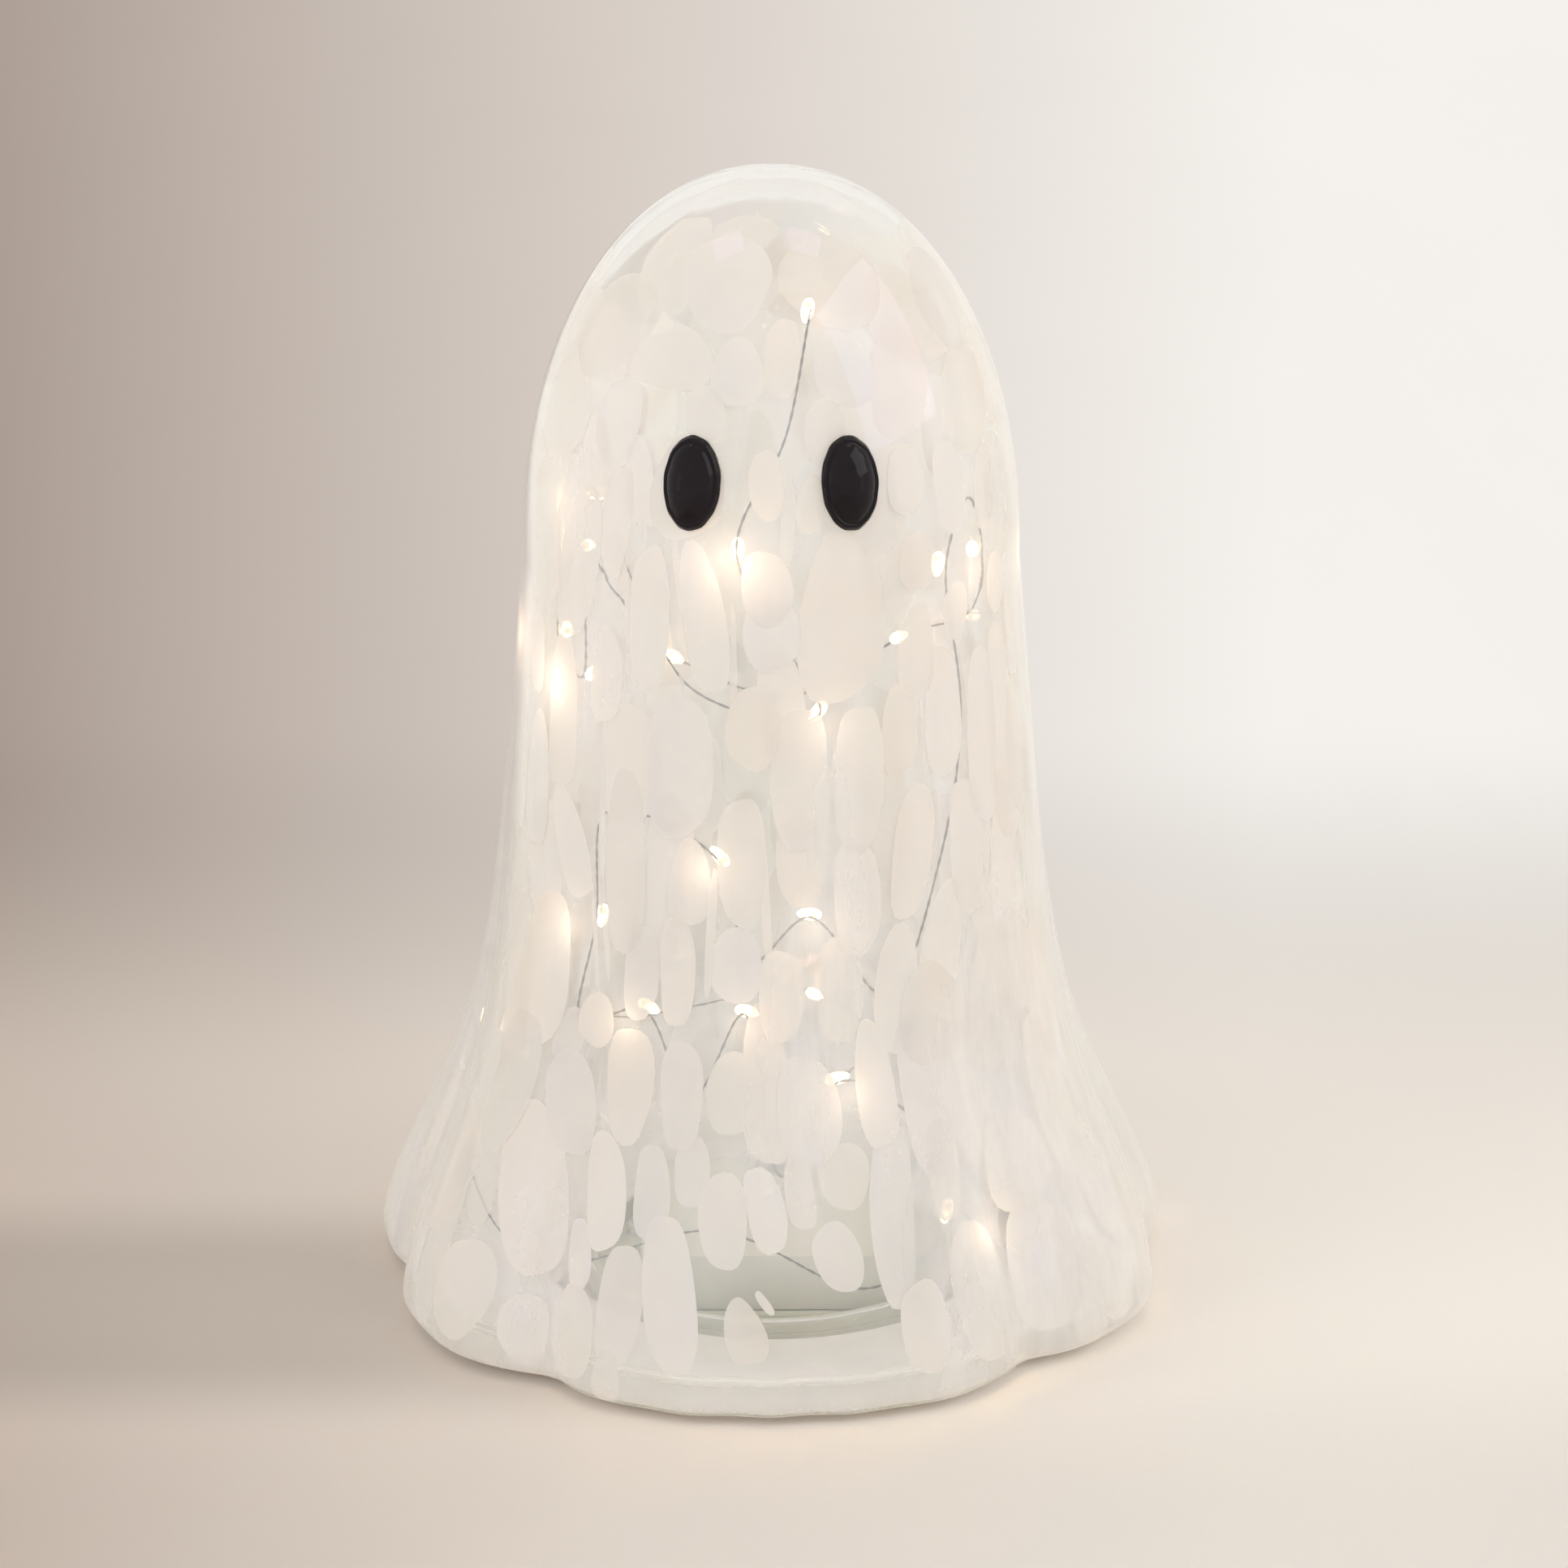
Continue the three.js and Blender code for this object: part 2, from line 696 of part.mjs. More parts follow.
const part_seat = board_top + solder_gap;
add('timer_chip', box(
  -chip_offset - chip_length / 2,
  -chip_offset + chip_length / 2,
  exit_y - chip_width / 2,
  exit_y + chip_width / 2,
  part_seat,
  part_seat + chip_height,
), black_plastic);
add('timer_crystal', rod(
  -crystal_offset - crystal_length / 2,
  -crystal_offset + crystal_length / 2,
  exit_y,
  part_seat + crystal_radius,
  crystal_radius,
), nickel);
add('board_capacitor', post(
  capacitor_x,
  exit_y,
  capacitor_radius,
  part_seat,
  part_seat + capacitor_height,
  16,
), black_plastic);

const switch_seat = flange_top + switch_body_rise;
add('switch_body', box(
  switch_x - switch_body_length / 2,
  switch_x + switch_body_length / 2,
  switch_y - switch_body_width / 2,
  switch_y + switch_body_width / 2,
  switch_seat,
  board_underside - solder_gap,
), black_plastic);

// Sliding knob in the flange's slot, at its middle place, with three finger grooves
function switchKnob() {
  const half = knob_length / 2;
  const side = knob_width / 2;
  const low = flange_bottom - 2 * seat_gap;
  const body = box(
    switch_x - half,
    switch_x + half,
    switch_y - side,
    switch_y + side,
    low,
    switch_seat - seat_gap,
  );
  const grooves = [-1, 0, 1].map((k) => {
    const x = switch_x + k * knob_groove_pitch;
    const reach = side + over;
    return box(
      x - knob_groove / 2,
      x + knob_groove / 2,
      switch_y - reach,
      switch_y + reach,
      low - over,
      low + knob_groove_depth,
    );
  });
  return geometryOf(cut(solid(body), ...grooves));
}

add('switch_knob', switchKnob(), white_plastic);

// Grommet in the roof of the case, where the light string comes out
function grommet() {
  const low = bay_top + seat_gap;
  const seat = case_top + solder_gap;
  const top = seat + grommet_lip_height;
  const body = join(
    post(exit_x, exit_y, grommet_radius, low, seat + bite, 20),
    post(exit_x, exit_y, grommet_radius + grommet_lip, seat, top, 20),
  );
  return geometryOf(cut(body, post(exit_x, exit_y, wire_radius + 2 * seat_gap, low - over, top + over, 12)));
}

add('wire_grommet', grommet(), clear_rubber);

// Leads from the two end contacts to the board
const lead_seat = bay_half - seat_gap - contact_thickness - seat_gap;
const lead_mid = channel_x + channel_width / 2;
const lead_height = cell_axis_z + contact_height / 2 + lead_radius + seat_gap;
add('lead_negative', tube([
  new THREE.Vector3(-lead_seat + lead_radius, cell_rows[0], lead_height),
  new THREE.Vector3(-bay_half, cell_rows[0], lead_height),
  new THREE.Vector3(lead_mid, cell_rows[0] + 3, cell_axis_z + 4),
  new THREE.Vector3(lead_mid, cell_rows[1], cell_axis_z + 1),
  new THREE.Vector3(lead_mid, cell_rows[2], cell_axis_z),
  new THREE.Vector3(lead_mid, bay_back + 1, cell_axis_z - 2),
  new THREE.Vector3(lead_mid + 2.2, board_bay_front + 4, board_underside - 3),
  new THREE.Vector3(lead_mid + 3.4, board_bay_front + 6, board_underside - seat_gap - lead_radius),
], lead_radius, 2), black_plastic);
add('lead_positive', tube([
  new THREE.Vector3(lead_seat - lead_radius, cell_rows[2] + contact_width / 2 + lead_radius, bay_top - 2),
  new THREE.Vector3(bay_half - 2, bay_back + case_wall / 2, bay_top - 1.8),
  new THREE.Vector3(bay_half - 3, board_bay_front + 3, bay_top - 1.8),
  new THREE.Vector3(bay_half - 4, board_bay_front + 5, board_top + seat_gap + lead_radius),
], lead_radius, 3), lead_red);

// The light string's route inside the glass: angle, height, gap to the inner wall; a light where marked
const wire_route = [
  { angle: 155, height: 44, gap: 26, light: false },
  { angle: 170, height: 52, gap: wire_clearance, light: true },
  { angle: 208, height: 46, gap: wire_clearance, light: false },
  { angle: 242, height: 58, gap: wire_clearance, light: true },
  { angle: 280, height: 34, gap: wire_clearance, light: false },
  { angle: 316, height: 28, gap: wire_clearance + 4, light: false },
  { angle: 350, height: 45, gap: wire_clearance + 2, light: false },
  { angle: 377, height: 31, gap: wire_clearance, light: false },
  { angle: 399, height: 42, gap: wire_clearance + 4, light: true },
  { angle: 392, height: 68, gap: wire_clearance, light: false },
  { angle: 375, height: 82, gap: wire_clearance, light: true },
  { angle: 362, height: 58, gap: wire_clearance + 3, light: false },
  { angle: 354, height: 100, gap: wire_clearance, light: true },
  { angle: 342, height: 76, gap: wire_clearance + 4, light: false },
  { angle: 330, height: 98, gap: wire_clearance, light: true },
  { angle: 313, height: 90, gap: wire_clearance, light: false },
  { angle: 315, height: 119, gap: wire_clearance, light: true },
  { angle: 318, height: 148, gap: wire_clearance - 2, light: false },
  { angle: 347, height: 140, gap: wire_clearance, light: true },
  { angle: 355, height: 112, gap: wire_clearance + 3, light: false },
  { angle: 369, height: 125, gap: wire_clearance, light: true },
  { angle: 386, height: 103, gap: wire_clearance - 2, light: false },
  { angle: 403, height: 134, gap: wire_clearance - 2, light: false },
  { angle: 413, height: 172, gap: wire_clearance - 2, light: false },
  { angle: 413, height: 210, gap: wire_clearance, light: true },
  { angle: 427, height: 224, gap: wire_clearance, light: false },
  { angle: 442, height: 207, gap: wire_clearance, light: true },
  { angle: 470, height: 182, gap: wire_clearance, light: false },
  { angle: 500, height: 168, gap: wire_clearance, light: true },
  { angle: 535, height: 146, gap: wire_clearance, light: false },
  { angle: 568, height: 160, gap: wire_clearance, light: true },
  { angle: 590, height: 184, gap: wire_clearance, light: false },
  { angle: 607, height: 200, gap: wire_clearance, light: true },
  { angle: 640, height: 186, gap: wire_clearance, light: true },
  { angle: 664, height: 180, gap: wire_clearance, light: true },
  { angle: 663, height: 227, gap: wire_clearance, light: true },
  { angle: 700, height: 183, gap: wire_clearance, light: false },
  { angle: 732, height: 177, gap: wire_clearance, light: true },
  { angle: 711, height: 219, gap: wire_clearance, light: true },
  { angle: 724, height: 247, gap: wire_clearance - 1, light: false },
  { angle: 735, height: 276, gap: wire_clearance - 1, light: true },
];

const route_points = wire_route.map(({ angle, height, gap }) => (
  polar(angle, innerRadius(angle, height) - gap, height)
));
const string_points = [
  new THREE.Vector3(exit_x, exit_y, board_top + seat_gap),
  new THREE.Vector3(exit_x, exit_y, case_top + grommet_lip_height + over),
  ...route_points,
];
add('light_string', tube(string_points, wire_radius, 2), wire_silver);
console.log(`light string ${new THREE.CatmullRomCurve3(string_points).getLength().toFixed(0)} mm long`);

// Drop-shaped lights beside the wire, on the side away from the glass
const drop = new THREE.SphereGeometry(1, 8, 6).scale(light_radius, light_radius, light_length / 2);
const string_curve = new THREE.CatmullRomCurve3(string_points);
let light_number = 0;
wire_route.forEach(({ light }, k) => {
  if (!light) {
    return;
  }
  light_number += 1;
  const at = k + 2;
  const along = string_curve.getTangent(at / (string_points.length - 1));
  const inward = string_points[at].clone().setZ(0).negate();
  inward.addScaledVector(along, -inward.dot(along)).normalize();
  const centre = string_points[at].clone().addScaledVector(inward, light_radius + wire_radius + seat_gap);
  const turn = new THREE.Quaternion().setFromUnitVectors(new THREE.Vector3(0, 0, 1), along);
  const name = `light_${String(light_number).padStart(2, '0')}`;
  const mesh = add(name, drop.clone(), light_clear);
  mesh.quaternion.copy(turn);
  mesh.position.copy(centre);
});

export default group;
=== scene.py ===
"""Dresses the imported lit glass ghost: its shell, white chips, eyes, light string, base, studio."""

import functools

import bpy
import numpy as np
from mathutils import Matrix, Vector


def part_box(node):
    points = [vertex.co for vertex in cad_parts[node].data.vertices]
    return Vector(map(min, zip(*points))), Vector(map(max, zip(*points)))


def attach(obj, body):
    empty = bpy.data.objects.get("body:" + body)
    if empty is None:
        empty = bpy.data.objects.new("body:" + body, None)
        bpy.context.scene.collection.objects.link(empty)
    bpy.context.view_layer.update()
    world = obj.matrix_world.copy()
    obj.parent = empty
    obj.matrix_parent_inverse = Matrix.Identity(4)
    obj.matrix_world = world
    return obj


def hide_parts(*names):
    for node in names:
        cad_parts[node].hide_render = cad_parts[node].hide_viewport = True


bl_info = {
    "name": "Lit Glass Ghost",
    "version": (1, 0, 0),
    "blender": (4, 5, 0),
    "location": "3D View > Sidebar > Glass Ghost",
    "description": "Builds the surfaces and finishes of a lit blown-glass ghost figurine",
    "category": "Object",
}

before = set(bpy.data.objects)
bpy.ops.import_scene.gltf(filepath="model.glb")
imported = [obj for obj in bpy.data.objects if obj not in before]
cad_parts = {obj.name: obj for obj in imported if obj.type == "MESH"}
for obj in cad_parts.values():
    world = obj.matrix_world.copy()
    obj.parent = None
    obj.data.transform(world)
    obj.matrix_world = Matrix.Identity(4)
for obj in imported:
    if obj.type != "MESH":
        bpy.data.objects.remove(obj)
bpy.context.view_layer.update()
MM = 0.001
FIXED_BODY = "figurine"

# Hem folds, each from its own valley to the next: valley angle in degrees, valley and crest in
# millimetres, roundness of the crest, and the dip in the middle of the crest in millimetres.
FOLDS = np.array([
    (-83, -6, 3.5, 0.75, 0),
    (-36, -7, 2, 0.45, 3),
    (45, -8.5, 4, 0.75, 0),
    (89, -2, 10, 0.75, 0),
    (136, -4, 5, 0.75, 0),
    (180, -5, 5.5, 0.75, 0),
    (230, -5, 8.5, 0.75, 0),
])

# Chips placed one by one: angle in degrees, height, width and length in millimetres, lean in
# degrees.
PLACED_CHIPS = np.array([
    (-16, 285, 24, 27, -11), (22, 285, 26, 28, 12), (20, 265, 16, 20, -5), (36, 261, 18, 29, 19),
    (-28, 267, 22, 17, 0), (-9, 265, 13, 18, 5), (3, 268, 9, 20, 8), (-54, 272, 24, 30, -1),
    (-64, 252, 24, 30, -11), (-41, 250, 14, 24, 4), (59, 254, 20, 32, 25), (66, 277, 23, 29, 21),
    (-28, 203, 11, 38, -1), (-15, 204, 11, 39, -8), (-1, 212, 13, 20, 0), (0, 201, 14, 21, 3),
    (16, 205, 22, 45, 1), (35, 216, 11, 16, 1), (34, 193, 11, 24, 1), (46, 201, 9, 15, 2),
    (62, 205, 9, 17, 3), (-64, 185, 8, 20, -3), (-49, 214, 14, 43, 10), (-38, 226, 9, 30, 1),
    (-52, 173, 12, 39, -2), (-1, 238, 9, 17, 0), (9, 233, 7, 14, 3), (33, 237, 11, 18, 10),
    (46, 233, 11, 24, 2), (59, 230, 9, 22, 16), (-32, 237, 8, 24, -10), (-46, 241, 10, 22, -13),
    (-39, 186, 10, 24, -2), (-20, 165, 18, 37, -1), (-4, 177, 13, 22, 6), (6, 164, 15, 35, 0),
    (-6, 142, 12, 35, 0), (-32, 140, 13, 46, -2), (-47, 141, 10, 31, -23), (-60, 153, 11, 37, -3),
    (19, 163, 13, 39, 1), (29, 174, 10, 25, 1), (41, 176, 12, 35, 2), (53, 168, 12, 46, 3),
    (-17, 136, 11, 23, -1), (6, 143, 12, 25, 0), (18, 132, 13, 29, 1), (31, 142, 12, 35, 9),
    (46, 140, 12, 36, 2), (58, 134, 11, 46, 3), (-52, 106, 20, 40, 1), (-37, 96, 12, 14, -2),
    (-27, 111, 10, 25, -1), (-19, 113, 10, 27, -1), (-7, 116, 13, 21, 0), (2, 108, 11, 25, 0),
    (14, 109, 12, 27, 4), (26, 107, 12, 35, 8), (38, 117, 13, 33, 11), (51, 98, 16, 40, 12),
    (67, 96, 16, 36, 14), (-56, 74, 18, 39, 5), (-41, 74, 16, 27, -12), (-28, 82, 15, 29, -2),
    (-17, 82, 12, 27, -1), (-7, 83, 14, 22, -2), (7, 79, 16, 29, -2), (20, 84, 10, 35, -4),
    (30, 79, 14, 41, -3), (39, 78, 12, 40, -4), (49, 56, 21, 28, -1), (62, 67, 16, 44, -5),
    (68, 42, 18, 38, -6), (-69, 46, 26, 38, -8), (-45, 50, 22, 45, -21), (-30, 55, 13, 30, -14),
    (-33, 38, 8, 19, -14), (-21, 57, 10, 24, -7), (-14, 63, 10, 18, -4), (-8, 52, 13, 24, -2),
    (-1, 55, 10, 22, -16), (5, 59, 8, 19, -6), (13, 62, 13, 18, 4), (11, 43, 12, 19, -20),
    (-24, 29, 13, 31, -2), (-16, 34, 14, 42, -9), (-4, 26, 10, 18, -19), (-32, 19, 15, 25, -6),
    (-41, 16, 14, 20, 2), (-53, 22, 22, 28, 3), (21, 51, 12, 47, 3), (32, 60, 11, 25, 3),
    (24, 24, 13, 25, -3), (35, 28, 18, 37, -1), (49, 29, 22, 36, -1), (61, 20, 17, 26, -20),
    (-1, 33, 2.4, 7, -38),
])

# The clear window at the foot of the front, where only the placed chips are: lowest and highest
# angle in degrees, lowest and highest height in millimetres.
CLEAR_WINDOW = (-13, 24, 0, 50)

# Places that scattered chips leave free, before a light or a stretch of wire: angle in degrees,
# height and radius in millimetres.
SIGHT_GAPS = np.array([
    (-45, 231, 4), (-9, 221, 6), (44, 214, 6), (57, 208, 4), (-60, 183, 4), (-48, 184, 6),
    (12, 179, 5), (-14, 143, 4), (-45, 123, 5), (10, 128, 5), (-33, 102, 5), (-14, 104, 4),
    (-8, 103, 6), (19, 86, 6), (50, 47, 7), (10, 277, 4), (3, 254, 3), (6, 266, 3), (9, 279, 3),
    (47, 162, 3), (44, 148, 3), (41, 135, 3), (48, 191, 3), (-42, 149, 3), (-44, 136, 3),
    (-18, 185, 3), (50, 239, 4), (51, 223, 4), (27, 114, 3), (-9, 170, 5), (-14, 176, 4),
    (-50, 229, 4),
])

# Kinds of scattered chips: range of width and of length, lowest and highest middle in millimetres,
# least distance to other chips where 1 is touching, and whether the front has them too.
SCATTERED_CHIPS = (
    ((12, 21), (28, 56), 4, 280, 0.6, True),
    ((1.4, 3), (22, 60), 105, 235, 0.85, True),
    ((7, 11), (14, 28), 4, 262, 0.78, True),
    ((4, 6.5), (7, 13), 4, 240, 0.72, False),
)
FRONT_HALF_ANGLE = 72

# How much chips cover, as ranges: those listed, and scattered ones in front and behind.
PLACED_COVER = (0.52, 0.95)
FRONT_COVER = (0.25, 0.7)
BACK_COVER = (0.35, 0.9)

# Height in millimetres above which placed chips cover less, and the share of it that is left.
THIN_ABOVE = 250
THIN_SHARE = 0.65

# Chips whose middles are nearer than this share of their sizes lie in different layers.
NEAR_BY = 1.2

# Patches of milk in the shell's own glass: angle in degrees, height, half width in degrees, half
# height in millimetres, and strength.
MILK_PATCHES = (
    (0, 0, 999, 60, 0.02),
    (50, 55, 24, 60, 0.14),
    (-66, 30, 16, 34, -0.06),
    (150, 60, 50, 60, 0.04),
    (0, 290, 999, 30, -0.12),
    (46, 43, 7, 12, -0.16),
    (5, 27, 17, 20, -0.18),
    (-6, 0, 70, 6, 0.15),
)

# The light string's route inside the glass: angle in degrees, height and gap to the inner wall in
# millimetres, and the strength of the painted glow round the light that sits there, 0 where there is
# none.
WIRE_ROUTE = np.array([
    (155, 44, 26, 0), (170, 52, 7, 0.4), (208, 46, 7, 0), (242, 58, 7, 0.4), (280, 34, 7, 0),
    (316, 28, 11, 0), (350, 45, 9, 0), (377, 31, 7, 0), (399, 42, 11, 0.5), (392, 68, 7, 0),
    (375, 82, 7, 0.35), (362, 58, 10, 0), (354, 100, 7, 0.3), (342, 76, 11, 0), (330, 98, 7, 0.35),
    (313, 90, 7, 0), (315, 119, 7, 0.4), (318, 148, 5, 0), (347, 140, 7, 0.35), (355, 112, 10, 0),
    (369, 125, 7, 0.35), (386, 103, 5, 0), (403, 134, 5, 0), (413, 172, 5, 0), (413, 210, 7, 0.5),
    (427, 224, 7, 0), (442, 207, 7, 0.45), (470, 182, 7, 0), (500, 168, 7, 0.4), (535, 146, 7, 0),
    (568, 160, 7, 0.4), (590, 184, 7, 0), (607, 200, 7, 0.4), (640, 186, 7, 0.8),
    (664, 180, 7, 0.8), (663, 227, 7, 0.25), (700, 183, 7, 0), (732, 177, 7, 0.3),
    (711, 219, 7, 0.8), (724, 247, 6, 0), (735, 276, 6, 0.15),
])
LIGHT_NODES = sorted(
    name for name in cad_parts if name.startswith("light_") and name[6:].isdigit()
)

# Painted glow round the lights, as emission in the glass: colour, and strength in the wall and in
# its chips.
PAINTED_GLOW_COLOUR = (1.0, 0.72, 0.5)
PAINTED_GLOW_IN_WALL = 0.12
PAINTED_GLOW_IN_CHIPS = 0.66

# Share of white in all of the shell's own glass.
PLAIN_MILK = 0.21

# Columns of points round the shell.
SHELL_COLUMNS = 288

# Lamps: name, the size that holds its power, place and width in metres, and whether matt surfaces
# and whether glossy ones see it. All of them look at one point.
LAMPS = (
    ("key", "key_power", (1.25, -0.5, 1.1), 1.3, True, True),
    ("fill", "fill_power", (-1.2, -0.7, 0.8), 1.0, True, False),
    ("top_left", "top_power", (-0.36, -0.02, 1.3), 0.26, False, True),
    ("top_right", "top_power", (0.26, -0.02, 1.3), 0.26, False, True),
    ("side_left", "side_power", (-1.3, -0.75, 0.35), 0.4, False, True),
    ("side_right", "side_power", (1.3, -0.9, 0.35), 0.4, False, True),
)
LAMP_AIM = (0, 0, 0.12)
LAMP_COLOUR = (1.0, 0.985, 0.97)

# Colours of the world's light, and of the pale wall that is seen in its place.
WORLD_COLOUR = (1.0, 0.985, 0.955)
WALL_COLOUR = (0.93, 0.915, 0.89)

# Colours of the floor from painted dusk at its left to painted light at its right, near and far
# behind, and near in the wider field round the camera's view, which the glass reflects.
NEAR_FLOOR = (
    (0.0, (0.58, 0.495, 0.435)), (0.5, (0.77, 0.705, 0.65)), (1.0, (0.84, 0.79, 0.735))
)
FAR_FLOOR = ((0.0, (0.36, 0.287, 0.245)), (0.5, (0.67, 0.60, 0.545)), (1.0, (0.91, 0.88, 0.84)))
FIELD_NEAR = (0.86, 0.83, 0.78)

# Finishes of the base and of what it holds: name, dark and light tone, range of roughness, grain,
# more inputs, and the CAD nodes that wear it. Moulded plastic has its grain drawn out along x.
MOULDED = {"stretch": (0.25, 1, 1)}
BASE_FINISHES = (
    ("pale_green_plastic", (0.50, 0.515, 0.41), (0.60, 0.61, 0.49), (0.35, 0.55), 260, MOULDED,
     "base_housing", "battery_door"),
    ("milky_green_plastic", (0.64, 0.645, 0.57), (0.72, 0.715, 0.645), (0.35, 0.55), 260, MOULDED,
     "battery_case"),
    ("clear_rubber", (0.80, 0.79, 0.75), (0.88, 0.87, 0.84), (0.2, 0.35), 300,
     {"Transmission_Weight": 0.55, "IOR": 1.42},
     "foot_front", "foot_right", "foot_back", "foot_left", "wire_grommet"),
    ("clear_sealant", (0.50, 0.515, 0.42), (0.60, 0.605, 0.50), (0.3, 0.5), 400,
     {"Transmission_Weight": 0.3, "IOR": 1.41}, "base_seal"),
    ("plated_steel", (0.50, 0.49, 0.47), (0.66, 0.65, 0.63), (0.25, 0.42), 700,
     {"stretch": (1, 1, 0.2), "Metallic": 1.0},
     "case_screw_1", "case_screw_2", "case_screw_3", "case_screw_4", "door_screw", "hinge_pin"),
    ("white_plastic", (0.74, 0.73, 0.70), (0.82, 0.81, 0.78), (0.35, 0.5), 500, {}, "switch_knob"),
    ("black_plastic", (0.017, 0.017, 0.019), (0.03, 0.03, 0.033), (0.35, 0.5), 500, {},
     "switch_body", "timer_chip", "board_capacitor", "lead_negative"),
)
BATTERY_FINISHES = (
    ("nickel_plate", (0.52, 0.50, 0.46), (0.70, 0.68, 0.63), (0.2, 0.38), 600, {"Metallic": 1.0},
     "contact_spring_1", "contact_spring_2", "contact_spring_3", "contact_negative",
     "contact_bridge_left", "contact_bridge_right", "contact_positive", "timer_crystal"),
    ("red_lead", (0.30, 0.022, 0.016), (0.42, 0.035, 0.025), (0.35, 0.5), 700, {}, "lead_positive"),
)


def number_prop(label, about, default, **kind):
    """A number that a user can change, with a unit or subtype where one is given."""
    return bpy.props.FloatProperty(name=label, description=about, default=default, **kind)


def length_prop(label, about, default):
    """A length that a user can change."""
    return number_prop(label, about, default, unit="LENGTH")


def power_prop(label, about, default):
    """A lamp's power that a user can change."""
    return number_prop(label, about, default, unit="POWER")


def whole_prop(label, about, default):
    """A whole number that a user can change."""
    return bpy.props.IntProperty(name=label, description=about, default=default)


def place_prop(label, about, default, subtype="TRANSLATION"):
    """A place, or with another subtype a colour, that a user can change."""
    return bpy.props.FloatVectorProperty(
        name=label, description=about, default=default, subtype=subtype, size=3
    )


def colour_prop(label, about, default):
    """A colour that a user can change."""
    return place_prop(label, about, default, "COLOR")


class GlassSizes(bpy.types.PropertyGroup):
    """Sizes of the blown shell."""

    height: length_prop("Height", "Top of the dome above the table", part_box("glass_body")[1].z)
    shoulder_height: length_prop("Shoulder height", "Where the dome meets the body", 0.205)
    shoulder_radius: length_prop("Shoulder radius", "Radius of the body under the dome", 0.0648)
    dome_roundness: number_prop("Dome roundness", "Exponent of the dome's oval (ellipse: 2)", 2.1)
    hem_radius: length_prop("Hem radius", "Mean radius of the folded hem", 0.1024)
    hem_height: length_prop("Hem height", "Height of the hem's widest line", 0.009)
    hem_corner: length_prop("Hem corner", "How far the hem rounds in to its underside", 0.004)
    flare_share: number_prop("Straight flare", "Share of the flare that is straight", 0.45)
    flare_power: number_prop("Flare sweep", "How late the flare sweeps out", 2.9)
    dome_wall: length_prop("Dome wall", "Thickness of the dome", 0.0032)
    hem_wall: length_prop("Hem wall", "Thickness of the hem", 0.005)
    underside: length_prop("Underside", "Height of the glass's foot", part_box("glass_body")[0].z)
    floor: length_prop("Floor", "Thickness of the glass floor", 0.006)
    inner_corner: length_prop("Inner corner", "Rounding between wall and floor inside", 0.006)
    hole_radius: length_prop("Floor hole", "Radius of the ground hole in the floor", 0.052)
    fold_top: length_prop("Fold top", "Height at which the hem's folds have faded out", 0.25)
    fold_power: number_prop("Fold fade", "How fast the folds fade upwards", 2.5)
    ripple: length_prop("Ripple", "Depth of the blown surface's waves", 0.0003)


class ChipSizes(bpy.types.PropertyGroup):
    """Sizes and colour of the white chips fused in the wall."""

    seed: whole_prop("Seed", "Start of the chips' random places", 7)
    tries: whole_prop("Tries", "Places tried for chips of each kind", 5000)
    depth: length_prop("Depth", "Depth of the outermost chips below the surface", 0.0006)
    layer: length_prop("Layer", "Step in depth between chips that overlap", 0.0002)
    crown: length_prop("Crown", "Half of a chip's thickness at its middle", 0.00004)
    colour: colour_prop("Chip colour", "Colour of the white chips", (0.96, 0.93, 0.90))


class EyeSizes(bpy.types.PropertyGroup):
    """Sizes and colour of the two glass eyes."""

    width: length_prop("Width", "Width of an eye", 0.0149)
    length: length_prop("Length", "Length of an eye", 0.0237)
    bulge: length_prop("Bulge", "How far an eye stands off the glass", 0.005)
    angle: number_prop("Angle", "Turn of an eye from the front", np.radians(18.4), subtype="ANGLE")
    height: length_prop("Height", "Height of the eyes above the table", 0.2378)
    colour: colour_prop("Eye colour", "Colour of the black glass", (0.0045, 0.002, 0.0035))


class StringSizes(bpy.types.PropertyGroup):
    """Sizes and colour of the light string."""

    wire: length_prop("Wire", "Width of the twisted pair", 0.0008)
    twist: length_prop("Twist", "Length of one turn of the pair", 0.007)
    light_width: length_prop("Light width", "Width of a clear drop", 0.0032)
    light_length: length_prop("Light length", "Length of a clear drop", 0.0064)
    light_gap: length_prop("Light gap", "Gap between a drop and the wire", 0.0003)
    light: colour_prop("Light colour", "Colour of the lights", (1.0, 0.74, 0.36))
    power: number_prop("Light strength", "Strength of a light's glowing core", 350)


class StudioLook(bpy.types.PropertyGroup):
    """Camera, lamps, the world's light and floor."""

    camera_place: place_prop("Camera", "Place of the camera", (0, -1.2, 0.54))
    camera_aim: place_prop("Aim", "Point that the camera looks at", (0, 0, 0.1401))
    lens: number_prop("Lens", "Focal length on a 36 mm sensor", 109.79, unit="CAMERA")
    shift: number_prop("Shift", "Sideways shift of the frame", 0.0083)
    world_light: number_prop("World light", "Strength of the light from all round", 0.68)
    key_power: power_prop("Key power", "Power of the large soft lamp", 7.7)
    fill_power: power_prop("Fill power", "Power of the soft lamp on the left", 6.0)
    top_power: power_prop("Top power", "Power of each lamp overhead, seen in glosses only", 0.3)
    side_power: power_prop("Side power", "Power of each side lamp, seen in glosses only", 0.15)
    floor_radius: length_prop("Floor radius", "Radius of the floor", 40)


# Shape of the glass


def mix(a, b, share):
    """The value that lies a share of the way from a to b."""
    return a + (b - a) * share


def polar(angle, radius, height):
    """Points at an angle in degrees from the front, a radius from the upright axis and a height."""
    turn = np.radians(angle)
    parts = np.broadcast_arrays(radius * np.sin(turn), -radius * np.cos(turn), height)
    return np.stack(parts, axis=-1)


def angle_of(points):
    """Angle of each point round the upright axis, in degrees from the front."""
    return np.degrees(np.arctan2(points[..., 0], -points[..., 1]))


